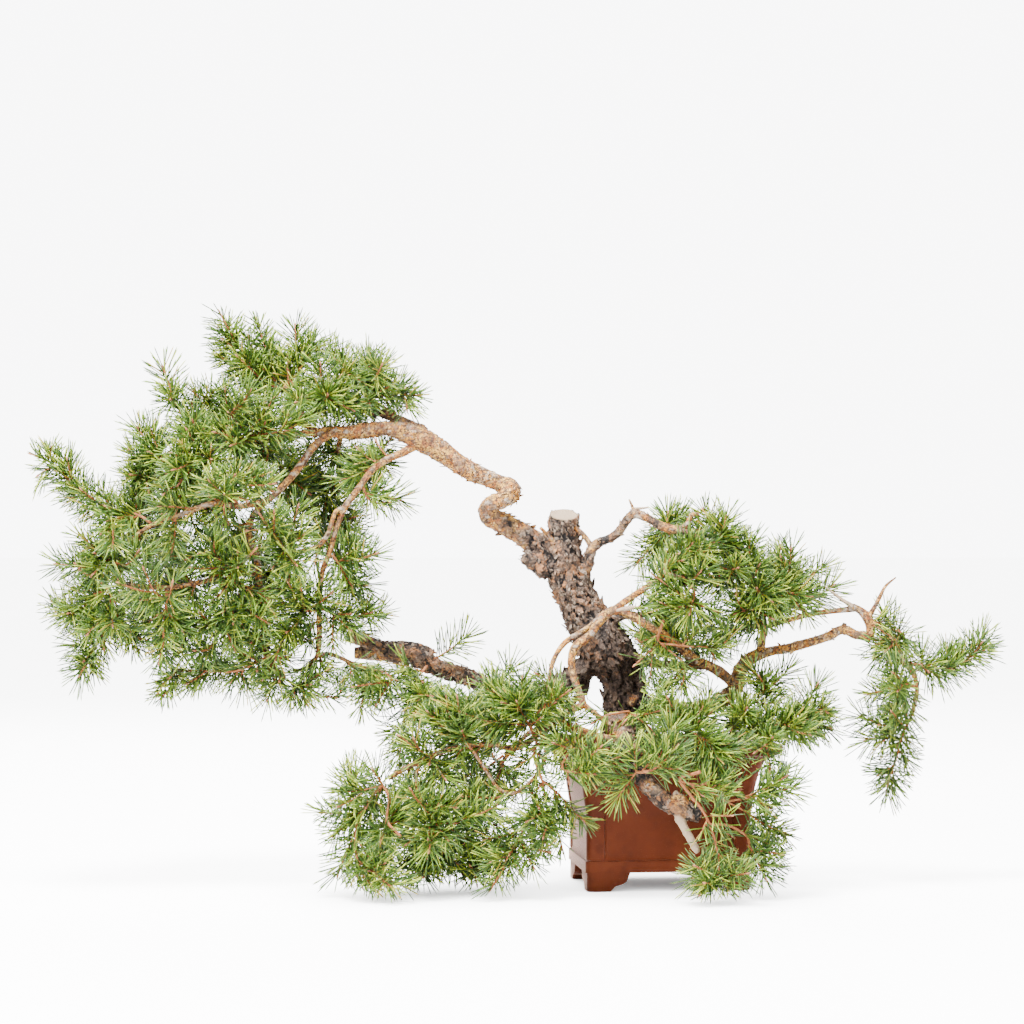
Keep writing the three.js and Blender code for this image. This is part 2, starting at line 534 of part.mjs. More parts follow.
    stems: [[[336, 16, 357, 2.4], [332, 12, 370, 2.2], [318, 8, 386, 2], [298, 4, 397, 1.6]]],
    tips: [[351, 0, 381], [368, 40, 366], [308, -20, 364], [280, 34, 420]],
  },
  return_shoot: {
    stems: [[
      [398, 12, 359, 2.3], [382, 10, 367, 2.2], [371, 8, 378, 2.1], [362, 6, 402, 1.9],
      [358, 4, 437, 1.6],
    ]],
    tips: [[400, 34, 388], [384, 44, 422], [334, 40, 432]],
  },
  far_hanging_end: {
    stems: [[
      [533, -6, 223, 2.2], [522, -5, 202, 2.1], [516, -3, 180, 2], [509, -2, 156, 1.9],
      [501, 0, 136, 1.8], [499, 0, 117, 1.5],
    ]],
    tips: [[468, 5, 190], [487, -10, 213], [529, 12, 190]],
  },
  far_hanging_left: {
    stems: [[[539, -10, 263, 2.2], [520, -22, 266, 2], [498, -18, 257, 1.9], [470, -12, 252, 1.6]]],
    tips: [[507, -56, 282], [498, -24, 228], [520, 24, 240]],
  },
  far_right: {
    stems: [[
      [524, -8, 293, 2.4], [548, -6, 291, 2.2], [576, -4, 285, 2], [602, -2, 297, 1.8],
      [635, 0, 314, 1.5],
    ]],
    tips: [[580, 6, 314], [547, 12, 311], [556, -26, 272]],
  },
  far_loop_end: {
    stems: [[[507, 6, 337, 2.2], [522, 9, 333, 2], [526, 10, 314, 1.7]]],
    tips: [[492, 10, 362], [480, -16, 316], [484, 26, 300]],
  },
};

// Shoots and needles.
const FINEST = 0.05;
const SHOOT_RADIUS = 1.8;
const LEAFY_LENGTH = 46;
const SHORT_STEM = 46;
const SHORTEST_SHOOT = 18;
const FORK_STEP = 12;
const RING_GAP = 7;
const FORK_HEIGHT = 4;
const FORK_REACH = 9;
const FORK_TRIES = 3;
const SHOOTS_PER_FORK = 3;
const BARE_STEP = 30;
const WHORL_SPACING = 21;
const WHORL_HEIGHT = 3.2;
const LAST_WHORL = 5;
const NEEDLE_LENGTH = 33;
const NEEDLE_LEAN = 58;
const NEEDLE_LEAN_AT_TIP = 42;
const END_NEEDLE_LENGTHS = [26, 20, 14, 6];
const NEEDLE_CLEARANCE = 0.7;
const TWIG_CLEARANCE = 1;
const RISE = 0.25;
const LOWEST = 2.5;
// A needle or a side shoot that would touch something is tried again, turned or moved by these.
const NEEDLE_TRIES = [
  [0, 0], [10, 0], [-10, 0], [0, 14], [0, -14], [14, 14], [14, -14], [20, 0], [-12, 14], [-12, -14],
];
const NUDGES = [
  [0, 0, 0], [0, 12, 0], [0, -12, 0], [10, 0, 0], [-10, 0, 0], [0, 0, 10], [0, 0, -10], [0, 22, 0],
  [0, -22, 0],
  [14, 14, 0], [-14, 14, 0], [14, -14, 0], [-14, -14, 0], [0, 16, 14], [0, -16, 14], [0, 16, -14],
  [0, -16, -14],
];

const UP = new THREE.Vector3(0, 0, 1);

// The true place of a point that is given as [across, back, up].
function place([across, back, up]) {
  const spread = 1 + back / SIGHT_DISTANCE;
  return new THREE.Vector3(across * spread, back, SIGHT_HEIGHT + (up - SIGHT_HEIGHT) * spread);
}

// A closed body from its vertices and triangles.
function solidFrom(vertices, triangles) {
  return new wasm.Manifold(new wasm.Mesh({
    numProp: 3,
    vertProperties: new Float32Array(vertices.flatMap((v) => [v.x, v.y, v.z])),
    triVerts: new Uint32Array(triangles.flat()),
  }));
}

function geometryOf(solid) {
  const made = solid.getMesh();
  const geometry = new THREE.BufferGeometry();
  geometry.setAttribute("position", new THREE.BufferAttribute(new Float32Array(made.vertProperties), 3));
  geometry.setIndex(new THREE.BufferAttribute(new Uint32Array(made.triVerts), 1));
  const flat = geometry.toNonIndexed();
  flat.computeVertexNormals();
  return flat;
}

const union = (solids) => wasm.Manifold.union(solids).simplify(FINEST);

function middleOf(points) {
  return points.reduce((sum, p) => sum.add(p), new THREE.Vector3()).divideScalar(points.length);
}

// Triangles between two rings of a body, ring k and the next one, each of the same number of points.
function bandBetween(k, sides) {
  return Array.from({ length: sides }, (_, i) => {
    const a = k * sides + i;
    const b = k * sides + ((i + 1) % sides);
    return [[a, b, a + sides], [b, b + sides, a + sides]];
  }).flat();
}

// Closed body over a stack of rings that all have the same number of points.
function loft(rings) {
  const sides = rings[0].length;
  const top = (rings.length - 1) * sides;
  const triangles = rings.slice(1).flatMap((_, k) => bandBetween(k, sides));
  for (let i = 1; i + 1 < sides; i++) triangles.push([0, i + 1, i], [top, top + i, top + i + 1]);
  return solidFrom(rings.flat(), triangles);
}

// Each point of a route with its direction and a side vector that is carried along without twist.
function frames(points, firstSide = null) {
  const last = points.length - 1;
  let side = firstSide;
  return points.map((point, k) => {
    const ahead = points[Math.min(k + 1, last)].clone().sub(points[Math.max(k - 1, 0)]).normalize();
    side ??= Math.abs(ahead.z) > 0.9 ? new THREE.Vector3(1, 0, 0) : UP.clone();
    side = side.clone().addScaledVector(ahead, -side.dot(ahead)).normalize();
    return { point, ahead, side, across: ahead.clone().cross(side) };
  });
}

function ringAt({ point, side, across }, radius, sides, turn = 0) {
  return Array.from({ length: sides }, (_, i) => {
    const angle = turn + (i * 2 * Math.PI) / sides;
    return point.clone()
      .addScaledVector(side, radius * Math.cos(angle))
      .addScaledVector(across, radius * Math.sin(angle));
  });
}

// A tapering limb through points, with a radius at each.
function tube(points, radii, sides) {
  return loft(frames(points).map((frame, k) => ringAt(frame, radii[k], sides)));
}

const limb = ([sides, route]) => tube(route.map(place), route.map((p) => p[3]), sides);

// Rounded rectangle at a height, a given distance outside the pot's footprint.
function potRing(outside, height) {
  const radius = POT_CORNER_RADIUS + Math.max(outside, 0) / 2;
  const corners = [[1, 1], [-1, 1], [-1, -1], [1, -1]];
  return corners.flatMap(([sx, sy], quarter) =>
    Array.from({ length: CORNER_STEPS + 1 }, (_, i) => {
      const angle = ((quarter + i / CORNER_STEPS) * Math.PI) / 2;
      return new THREE.Vector3(
        sx * (POT_HALF_WIDTH + outside - radius) + radius * Math.cos(angle),
        sy * (POT_HALF_DEPTH + outside - radius) + radius * Math.sin(angle),
        height,
      );
    }));
}

// An outline of [x, z] points, clockwise as seen from the front, carried back from one depth to another.
function prism(outline, front, back) {
  return loft([front, back].map((depth) => outline.map(([x, z]) => new THREE.Vector3(x, depth, z))));
}

const box = (x0, x1, y0, y1, z0, z1) => prism([[x0, z1], [x1, z1], [x1, z0], [x0, z0]], y0, y1);

// Feet: at each corner one bracket along the front or back and one along the side.
function potFeet() {
  const top = FOOT_HEIGHT + 1;
  const outline = FOOT_OUTLINE.map(([inwards, down]) => [inwards, top * (1 + down / FOOT_HEIGHT)]);
  const along = prism(outline, 0, FOOT_THICKNESS);
  const bracket = along.add(along.mirror([0, 1, 0]).rotate([0, 0, 90]));
  const corner = bracket.translate([-POT_HALF_WIDTH, -POT_HALF_DEPTH, 0]);
  const pair = corner.add(corner.mirror([1, 0, 0]));
  return pair.add(pair.mirror([0, 1, 0])).intersect(loft([potRing(0, 0), potRing(0, top)]));
}

function potBody() {
  const walls = loft([...POT_OUTSIDE, ...POT_INSIDE].map((row) => potRing(...row)));
  const drain = wasm.Manifold.cylinder(2 * FLOOR_TOP, DRAIN_RADIUS, DRAIN_RADIUS, 16, true);
  const atSide = (side) => drain.translate([(side * DRAIN_SPACING) / 2, 0, 0]);
  return walls.add(potFeet()).subtract(atSide(-1).add(atSide(1)));
}

// A square of plastic mesh over a drain hole, drawn with four openings.
function screenBody(middle) {
  const half = SCREEN_SIZE / 2;
  const [bottom, top] = [FLOOR_TOP + GAP, FLOOR_TOP + GAP + SCREEN_THICKNESS];
  const [near, far] = [SCREEN_BAR / 2, half - SCREEN_BAR];
  const hole = box(near, far, near, far, bottom - 1, top + 1);
  const row = hole.add(hole.mirror([1, 0, 0]));
  const plate = box(-half, half, -half, half, bottom, top);
  return plate.subtract(row.add(row.mirror([0, 1, 0]))).translate([middle, 0, 0]);
}

// The soil fills the pot. The trunk and its buttress stand in plain holes in it.
function soilBody() {
  const bottom = FLOOR_TOP + SCREEN_THICKNESS + 2 * GAP;
  const wall = POT_INSIDE.filter(([, height]) => height < SOIL_EDGE).toReversed();
  const edge = potRing(SOIL_EDGE_OUTSIDE, SOIL_EDGE);
  const rise = (share, height) => edge.map((v) => new THREE.Vector3(v.x * share, v.y * share, height));
  return loft([
    ...wall.map(([outside, height]) => potRing(outside - GAP, Math.max(height, bottom))),
    edge,
    rise(0.8, (SOIL_EDGE + SOIL_CROWN) / 2),
    rise(0.35, SOIL_CROWN),
  ]);
}

function trunkHole([sides, route]) {
  const points = route.map(place);
  points[0].z -= GAP;
  return tube(points, route.map((p) => p[3] + GAP), sides);
}

const turnPot = (body) => body.rotate([0, 0, POT_TURN_DEGREES]).translate([POT_ACROSS, 0, 0]);

// How far outside its footprint the pot's outer wall is at a height.
function wallAt(height) {
  const k = POT_OUTSIDE.findIndex(([, z]) => z >= height);
  if (k < 1) return POT_OUTSIDE.at(k)[0];
  const [[below, z0], [above, z1]] = [POT_OUTSIDE[k - 1], POT_OUTSIDE[k]];
  return z1 === z0 ? above : THREE.MathUtils.mapLinear(height, z0, z1, below, above);
}

// Whether a point is inside the pot or nearer to it than the clearance.
function touchesPot(point, clearance) {
  if (point.z > LIP_TOP + clearance) return false;
  const local = point.clone().sub(new THREE.Vector3(POT_ACROSS, 0, 0));
  local.applyAxisAngle(UP, -THREE.MathUtils.degToRad(POT_TURN_DEGREES));
  const widest = Math.max(...[-clearance, 0, clearance].map((shift) => wallAt(point.z + shift)));
  const outside = widest + clearance;
  return Math.abs(local.x) < POT_HALF_WIDTH + outside && Math.abs(local.y) < POT_HALF_DEPTH + outside;
}

// Every twig and needle is remembered as a tapering rod in a grid of cells, to keep pieces apart.
const CELL = 40;
const cells = new Map();

function cellsAlong(rod) {
  const steps = Math.ceil(rod.from.distanceTo(rod.to) / (CELL / 2)) + 1;
  const keys = Array.from({ length: steps + 1 }, (_, k) => {
    const p = rod.from.clone().lerp(rod.to, k / steps).divideScalar(CELL).floor();
    return `${p.x} ${p.y} ${p.z}`;
  });
  return new Set(keys);
}

function remember(rod) {
  for (const key of cellsAlong(rod)) {
    if (!cells.has(key)) cells.set(key, new Set());
    cells.get(key).add(rod);
  }
}

const NEIGHBOURS = [-1, 0, 1].flatMap((x) => [-1, 0, 1].flatMap((y) => [-1, 0, 1].map((z) => [x, y, z])));

function rodsNear(rod) {
  const found = new Set();
  for (const key of cellsAlong(rod)) {
    const [x, y, z] = key.split(" ").map(Number);
    for (const [dx, dy, dz] of NEIGHBOURS) {
      for (const other of cells.get(`${x + dx} ${y + dy} ${z + dz}`) ?? []) found.add(other);
    }
  }
  return found;
}

// Smallest distance between the surfaces of two tapering rods, from the nearest points of their axes.
function gapBetween(one, two) {
  const u = one.to.clone().sub(one.from);
  const v = two.to.clone().sub(two.from);
  const w = one.from.clone().sub(two.from);
  const [uu, uv, vv, uw, vw] = [u.dot(u), u.dot(v), v.dot(v), u.dot(w), v.dot(w)];
  const clamp = (share) => Math.min(1, Math.max(0, share));
  const gapAt = (s, t) => w.clone().addScaledVector(u, s).addScaledVector(v, -t).length()
    - THREE.MathUtils.lerp(one.thick, one.thin, s) - THREE.MathUtils.lerp(two.thick, two.thin, t);
  const crossing = uu * vv - uv * uv;
  const first = crossing > 1e-9 ? clamp((uv * vw - vv * uw) / crossing) : 0;
  const t = clamp((uv * first + vw) / vv);
  const s = clamp((uv * t - uw) / uu);
  return Math.min(gapAt(s, t), gapAt(0, clamp(vw / vv)), gapAt(1, clamp((uv + vw) / vv)));
}

// Whether a rod keeps its distance from the floor, the pot and every remembered rod.
function isClear(rod, clearance) {
  for (const share of [0, 0.25, 0.5, 0.75, 1]) {
    const point = rod.from.clone().lerp(rod.to, share);
    if (point.z < LOWEST || touchesPot(point, rod.thick + clearance)) return false;
  }
  return ![...rodsNear(rod)].some((other) => gapBetween(rod, other) < clearance);
}

function rodsAlong(points, radii) {
  return points.slice(1).map((to, k) => ({ from: points[k], to, thick: radii[k], thin: radii[k + 1] }));
}

// Where a stem is clear of the wood: the first place along it that no limb reaches.
function leavesWood({ points, radii }) {
  for (let k = 0; k + 1 < points.length; k++) {
    const step = points[k + 1].clone().sub(points[k]).normalize();
    const length = points[k].distanceTo(points[k + 1]);
    for (let along = 0; along < length; along += 0.5) {
      const from = points[k].clone().addScaledVector(step, along);
      const rod = { from, to: from.clone().addScaledVector(step, 0.1), thick: radii[k], thin: radii[k] };
      const touches = [...rodsNear(rod)].some((limbRod) => gapBetween(rod, limbRod) < TWIG_CLEARANCE);
      if (!touches) return { k, from, step };
    }
  }
  throw new Error("a leafy stem never leaves the wood");
}

// A stem's foot belongs to the wood and ends in a flat cap. The leafy part starts just beyond it.
function splitStem(route) {
  const points = route.map(place);
  const radii = route.map((p) => p[3]);
  const { k, from, step } = leavesWood({ points, radii });
  const cut = from.clone().addScaledVector(step, GAP);
  return {
    foot: { points: [...points.slice(0, k + 1), from], radii: [...radii.slice(0, k + 1), radii[k]] },
    leafy: { points: [cut, ...points.slice(k + 1)], radii: radii.slice(k) },
  };
}

const clampToOne = (share) => THREE.MathUtils.clamp(share, 0, 1);

// A line to grow along: a place and a radius at every length along it, and the side shoots it bears.
function stemLine({ points, radii }) {
  const curve = new THREE.CurvePath();
  points.slice(1).forEach((to, k) => curve.add(new THREE.LineCurve3(points[k], to)));
  const corners = [0, ...curve.getCurveLengths()];
  const length = corners.at(-1);
  const radiusAt = (along) => {
    const k = Math.max(1, corners.findIndex((corner) => corner >= along - 1e-6));
    const share = clampToOne((along - corners[k - 1]) / (corners[k] - corners[k - 1]));
    return THREE.MathUtils.lerp(radii[k - 1], radii[k], share);
  };
  const pointAt = (along) => curve.getPointAt(clampToOne(along / length));
  return { corners, length, radiusAt, pointAt, forks: [] };
}

function shootLine(curve) {
  const length = curve.getLength();
  const pointAt = (along) => curve.getPointAt(clampToOne(along / length));
  return { corners: [], length, radiusAt: () => SHOOT_RADIUS, pointAt, forks: [] };
}

// Where side shoots may leave a stem: spread evenly from its foot to where its own needles begin.
function setForks(line) {
  const count = Math.max(1, Math.floor((line.length - LEAFY_LENGTH) / FORK_STEP));
  line.forks = Array.from({ length: count }, (_, k) => {
    const along = FORK_STEP * (k + 0.8);
    const from = line.pointAt(along);
    return { along, from, ahead: line.pointAt(along + 2).sub(from).normalize(), shoots: [] };
  });
}

// A side shoot's route to its tip: it leaves the stem at half a right angle and bends upwards a little.
function shootCurve({ from, ahead }, tip) {
  const reach = tip.distanceTo(from);
  const way = tip.clone().sub(from).normalize();
  const aside = way.clone().addScaledVector(ahead, -way.dot(ahead)).normalize();
  const leave = from.clone().addScaledVector(aside.add(ahead).normalize(), reach * 0.3);
  const arrive = way.addScaledVector(UP, RISE).normalize();
  const before = tip.clone().addScaledVector(arrive, -reach * 0.35);
  return new THREE.CubicBezierCurve3(from, leave, before, tip);
}

// Lay a side shoot from the fork that suits its tip best, nudged until it is clear of every other twig.
function addSideShoot(stems, tip) {
  const forks = stems.flatMap((stem) => stem.forks).filter(({ shoots }) => shoots.length < SHOOTS_PER_FORK);
  const cost = ({ from, ahead }) => {
    const way = tip.clone().sub(from).normalize();
    return tip.distanceTo(from) * (1.6 - way.dot(ahead));
  };
  for (const fork of forks.toSorted((a, b) => cost(a) - cost(b)).slice(0, FORK_TRIES)) {
    for (const nudge of NUDGES) {
      const line = shootLine(shootCurve(fork, tip.clone().add(new THREE.Vector3(...nudge))));
      const points = [0, 0.2, 0.4, 0.6, 0.8, 1].map((share) =>
        line.pointAt(THREE.MathUtils.lerp(FORK_REACH, line.length, share)));
      const rods = rodsAlong(points, points.map(() => SHOOT_RADIUS));
      if (line.length > SHORTEST_SHOOT && rods.every((rod) => isClear(rod, TWIG_CLEARANCE))) {
        rods.forEach(remember);
        fork.shoots.push(line);
        return;
      }
    }
  }
}

// The rings of a line: where it bends, and a pair wherever triangles are raised to shoots or needles.
function stationsOf(line, whorls) {
  const forks = line.forks.filter(({ shoots }) => shoots.length).flatMap(({ along, shoots }) => [
    { along: along - FORK_HEIGHT / 2, shoots },
    { along: along + FORK_HEIGHT / 2 },
  ]);
  const leafy = Array.from({ length: whorls }, (_, k) => {
    const along = Math.max(FORK_REACH, line.length - LAST_WHORL - (whorls - 1 - k) * WHORL_SPACING);
    return [{ along: along - WHORL_HEIGHT / 2, needles: true }, { along: along + WHORL_HEIGHT / 2 }];
  }).flat();
  const bends = line.corners.length ? line.corners : spread(0, leafy[0].along, BARE_STEP);
  const raised = [...forks, ...leafy];
  const isBare = (bend) => raised.every(({ along }) => Math.abs(along - bend) > RING_GAP);
  const bare = bends.slice(1).filter((bend) => bend < leafy[0].along && isBare(bend));
  return [{ along: 0 }, ...bare.map((along) => ({ along })), ...raised].sort((a, b) => a.along - b.along);
}

function spread(from, to, step) {
  const count = Math.max(1, Math.round((to - from) / step));
  return Array.from({ length: count }, (_, k) => from + ((to - from) * k) / count);
}

// Where a needle on one triangle ends. It leans forwards, more so near the shoot's tip, and is
// re-aimed or shortened until it is clear of every other twig and needle. Null if no try is clear.
function needleTip(corners, frame, share) {
  const root = middleOf(corners);
  const outwards = root.clone().sub(frame.point);
  outwards.addScaledVector(frame.ahead, -outwards.dot(frame.ahead)).normalize();
  const sideways = frame.ahead.clone().cross(outwards);
  const usualLean = THREE.MathUtils.lerp(NEEDLE_LEAN, NEEDLE_LEAN_AT_TIP, share);
  for (const size of [1, 0.8]) {
    for (const [tilt, swing] of NEEDLE_TRIES) {
      const lean = THREE.MathUtils.degToRad(usualLean + tilt);
      const turn = THREE.MathUtils.degToRad(swing);
      const way = frame.ahead.clone().multiplyScalar(Math.cos(lean))
        .addScaledVector(outwards, Math.sin(lean) * Math.cos(turn))
        .addScaledVector(sideways, Math.sin(lean) * Math.sin(turn));
      const tip = root.clone().addScaledVector(way, NEEDLE_LENGTH * size);
      const rod = { from: root.clone().addScaledVector(way, 4), to: tip, thick: 1.1, thin: 0.1 };
      if (isClear(rod, NEEDLE_CLEARANCE)) {
        remember(rod);
        return tip;
      }
    }
  }
  return null;
}

// The needle that ends a shoot goes straight on, as long as it is clear.
function endNeedleTip({ point, ahead }) {
  const rods = END_NEEDLE_LENGTHS.map((length) => {
    const [from, to] = [4, length].map((along) => point.clone().addScaledVector(ahead, along));
    return { from, to, thick: 1.1, thin: 0.1 };
  });
  const rod = rods.find((candidate) => isClear(candidate, NEEDLE_CLEARANCE)) ?? rods.at(-1);
  remember(rod);
  return rod.to;
}

// A leafy stem is one skin over a thin three-sided rod. Where it branches or bears needles, the next
// ring is turned by 60 degrees, so that six triangles face six ways. Each of them can be raised to a
// needle, or be the foot of a side shoot, which is such a rod itself.
class Skin {
  vertices = [];
  triangles = [];

  add(points) {
    const first = this.vertices.length;
    this.vertices.push(...points);
    return points.map((_, k) => first + k);
  }

  at(corners) {
    return corners.map((corner) => this.vertices[corner]);
  }

  raise(corners, apex) {
    const [top] = this.add([apex]);
    corners.forEach((corner, i) => this.triangles.push([corner, corners[(i + 1) % 3], top]));
  }

  // Grow a rod along a line. A stem's first ring is made and closed here, a side shoot's first ring
  // is a triangle of the stem.
  grow(line, whorls, foot = null) {
    const stations = stationsOf(line, whorls);
    const points = stations.map(({ along }) => line.pointAt(along));
    if (foot) points[0] = middleOf(this.at(foot));
    const shape = frames(points, foot && this.vertices[foot[0]].clone().sub(points[0]));
    let turned = 0;
    const rings = shape.map((frame, k) => {
      const { shoots, needles } = stations[k - 1] ?? {};
      if (shoots || needles) turned += Math.PI / 3;
      else if (k) turned += Math.PI / 6;
      if (k === 0 && foot) return foot;
      return this.add(ringAt(frame, line.radiusAt(stations[k].along), 3, turned));
    });
    if (!foot) this.triangles.push(rings[0].toReversed());
    stations.slice(0, -1).forEach(({ along, shoots, needles }, k) => {
      const corners = [...rings[k], ...rings[k + 1]];
      const band = bandBetween(0, 3).map((triangle) => triangle.map((i) => corners[i]));
      if (shoots) this.branch(band, shape[k], shoots);
      else if (needles) this.bearNeedles(band, shape[k], along / line.length);
      else this.triangles.push(...band);
    });
    this.raise(rings.at(-1), endNeedleTip(shape.at(-1)));
  }

  bearNeedles(band, frame, share) {
    for (const corners of band) {
      const tip = needleTip(this.at(corners), frame, share);
      if (tip) this.raise(corners, tip);
      else this.triangles.push(corners);
    }
  }

  // Each side shoot grows from the free triangle that faces its way best.
  branch(band, frame, shoots) {
    const free = [...band];
    for (const shoot of shoots) {
      const aside = shoot.pointAt(2 * FORK_REACH).sub(frame.point);
      const facing = (corners) => middleOf(this.at(corners)).sub(frame.point).dot(aside);
      const foot = free.reduce((best, next) => (facing(next) > facing(best) ? next : best));
      free.splice(free.indexOf(foot), 1);
      this.grow(shoot, 1, foot);
    }
    this.triangles.push(...free);
  }
}

function leafyBody(stems) {
  return union(stems.map((stem) => {
    const skin = new Skin();
    skin.grow(stem, stem.length < SHORT_STEM ? 1 : 2);
    return solidFrom(skin.vertices, skin.triangles);
  }));
}

// Every limb is laid first, then every leafy stem, then their side shoots, and the needles last.
const woodLimbs = { trunk: [9, TRUNK], buttress: [5, BUTTRESS], ...LIMBS };
for (const [, route] of Object.values(woodLimbs)) {
  rodsAlong(route.map(place), route.map((p) => p[3])).forEach(remember);
}

const feet = [];
const leafyStems = Object.entries(LEAFY_STEMS).map(([name, { stems: [first, ...others], tips }]) => {
  const { foot, leafy } = splitStem(first);
  feet.push(foot);
  const [cut, next] = leafy.points;
  const start = next.clone().sub(cut).setLength(FORK_REACH / 2).add(cut);
  const twins = others.map((route) => ({
    points: [start, ...route.slice(1).map(place)],
    radii: route.map((p) => p[3]),
  }));
  return { name, routes: [leafy, ...twins], tips: tips.map(place) };
});
for (const { points, radii } of [...feet, ...leafyStems.flatMap(({ routes }) => routes)]) {
  rodsAlong(points, radii).forEach(remember);
}
for (const leafyStem of leafyStems) {
  leafyStem.stems = leafyStem.routes.map(stemLine);
  leafyStem.stems.forEach(setForks);
  for (const tip of leafyStem.tips) addSideShoot(leafyStem.stems, tip);
}

const sprays = leafyStems.map(({ name, stems }) => [name, leafyBody(stems)]);
const stubs = feet.map(({ points, radii }) => tube(points, radii, 3));
const wood = union([...Object.values(woodLimbs).map(limb), ...stubs]);
const holes = trunkHole(woodLimbs.trunk).add(trunkHole(woodLimbs.buttress));
const soil = turnPot(soilBody()).subtract(holes);

const LOOKS = {
  clay: { color: 0x70392a, roughness: 0.75 },
  soil: { color: 0x4a3b2e, roughness: 1 },
  mesh: { color: 0x22262a, roughness: 0.6 },
  bark: { color: 0x7a5a40, roughness: 0.9 },
  needles: { color: 0x5d7f33, roughness: 0.7 },
};

const pieces = [
  ["pot", turnPot(potBody()), LOOKS.clay],
  ["soil", soil, LOOKS.soil],
  ["drain_screen_left", turnPot(screenBody(-DRAIN_SPACING / 2)), LOOKS.mesh],
  ["drain_screen_right", turnPot(screenBody(DRAIN_SPACING / 2)), LOOKS.mesh],
  ["wood", wood, LOOKS.bark],
  ...sprays.map(([name, body]) => [`leafy_${name}`, body, LOOKS.needles]),
];

const tree = new THREE.Group();
tree.name = "scots_pine_bonsai";
for (const [name, body, look] of pieces) {
  const finish = new THREE.MeshStandardMaterial({ ...look, metalness: 0 });
  const mesh = new THREE.Mesh(geometryOf(body), finish);
  mesh.name = name;
  tree.add(mesh);
}

// The origin is under the middle of the whole, at the feet.
const middle = new THREE.Box3().setFromObject(tree).getCenter(new THREE.Vector3());
for (const mesh of tree.children) mesh.geometry.translate(-middle.x, -middle.y, 0);

export default tree;
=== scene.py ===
# %% [markdown]
# # A Scots pine trained as a cascading bonsai, in its clay pot
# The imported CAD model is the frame: it says where the pot, the wood and each leafy stem are.
# This script dresses it. The pot gets its panels and rounded edges, the soil its granules, the
# wood its flaking bark, and each leafy stem its round twigs and all of its needles.

import bmesh
import bpy
import numpy as np
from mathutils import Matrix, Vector


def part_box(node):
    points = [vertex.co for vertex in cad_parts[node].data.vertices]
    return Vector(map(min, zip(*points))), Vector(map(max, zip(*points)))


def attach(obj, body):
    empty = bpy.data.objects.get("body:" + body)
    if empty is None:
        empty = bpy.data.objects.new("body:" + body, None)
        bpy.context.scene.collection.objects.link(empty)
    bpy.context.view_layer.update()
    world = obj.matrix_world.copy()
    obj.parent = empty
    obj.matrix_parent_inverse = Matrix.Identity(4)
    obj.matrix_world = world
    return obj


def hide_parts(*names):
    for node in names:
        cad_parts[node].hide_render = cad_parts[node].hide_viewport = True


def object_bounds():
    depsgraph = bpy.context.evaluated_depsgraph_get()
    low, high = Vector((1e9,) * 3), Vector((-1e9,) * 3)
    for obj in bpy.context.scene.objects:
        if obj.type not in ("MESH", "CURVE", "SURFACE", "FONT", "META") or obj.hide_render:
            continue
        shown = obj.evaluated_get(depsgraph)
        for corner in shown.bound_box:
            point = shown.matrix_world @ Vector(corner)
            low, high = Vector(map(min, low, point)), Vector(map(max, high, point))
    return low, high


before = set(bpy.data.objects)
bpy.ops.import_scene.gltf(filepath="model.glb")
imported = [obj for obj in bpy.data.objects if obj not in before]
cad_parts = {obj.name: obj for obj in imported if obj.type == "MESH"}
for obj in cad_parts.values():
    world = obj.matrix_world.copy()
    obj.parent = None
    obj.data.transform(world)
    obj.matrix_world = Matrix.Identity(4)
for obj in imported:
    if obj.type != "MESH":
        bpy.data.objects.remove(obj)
cad_box = [list(corner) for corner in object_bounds()]
print("CAD box", np.round(cad_box, 4).tolist())

# %% [markdown]
# ## Camera
# The tree was laid out as it is sighted from the front, with a long lens from a little over four
# metres. A place is then three numbers: how far across, how far behind the pot's middle, and how
# high. A thing further back looks smaller, so its true distance from the line of sight is larger
# in the same proportion. The same rule serves for the camera and for every route below.

# %% Sight line and camera
SIGHT_DISTANCE = 4.2
SIGHT_HEIGHT = 0.495
POT_ACROSS = 0.1955
PHOTO_WIDTH_AT_POT = 1.3653

pot_low, pot_high = (np.array(corner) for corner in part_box("pot"))
pot_middle = (pot_low + pot_high) / 2
sight_foot = np.array([pot_middle[0] - POT_ACROSS, pot_middle[1], 0.0])


def true_place(sighted_mm):
    """Places in metres from rows of (across, back, up) in millimetres.

    The share 1 + back / distance widens what is further back, about the line of sight."""
    across, back, up = np.asarray(sighted_mm, float)[:, :3].T / 1000
    share = 1 + back / SIGHT_DISTANCE
    above = SIGHT_HEIGHT + (up - SIGHT_HEIGHT) * share
    return sight_foot + np.stack([across * share, back, above], axis=1)


camera_data = bpy.data.cameras.new("camera")
camera_data.sensor_width = 36
camera_data.lens = 36 * SIGHT_DISTANCE / PHOTO_WIDTH_AT_POT
camera = bpy.data.objects.new("camera", camera_data)
camera.location = sight_foot + np.array([0, -SIGHT_DISTANCE, SIGHT_HEIGHT])
camera.rotation_euler = (np.pi / 2, 0, 0)
bpy.context.scene.collection.objects.link(camera)
bpy.context.scene.camera = camera
print("camera at", np.round(camera.location, 3).tolist(), "lens", round(camera_data.lens, 1), "mm")

# %% [markdown]
# ## Lines, tubes and meshes
# Almost everything on a tree is a tapering tube along a bent line. So the first helpers are a
# smooth line through a few chosen points, and a skin carried along it. They work on whole arrays,
# because a tree has far too many vertices for a loop.

# %% Smooth lines
def distance_along(points):
    """How far each point is from the first, measured along the line."""
    return np.concatenate([[0], np.cumsum(np.linalg.norm(np.diff(points, axis=0), axis=1))])


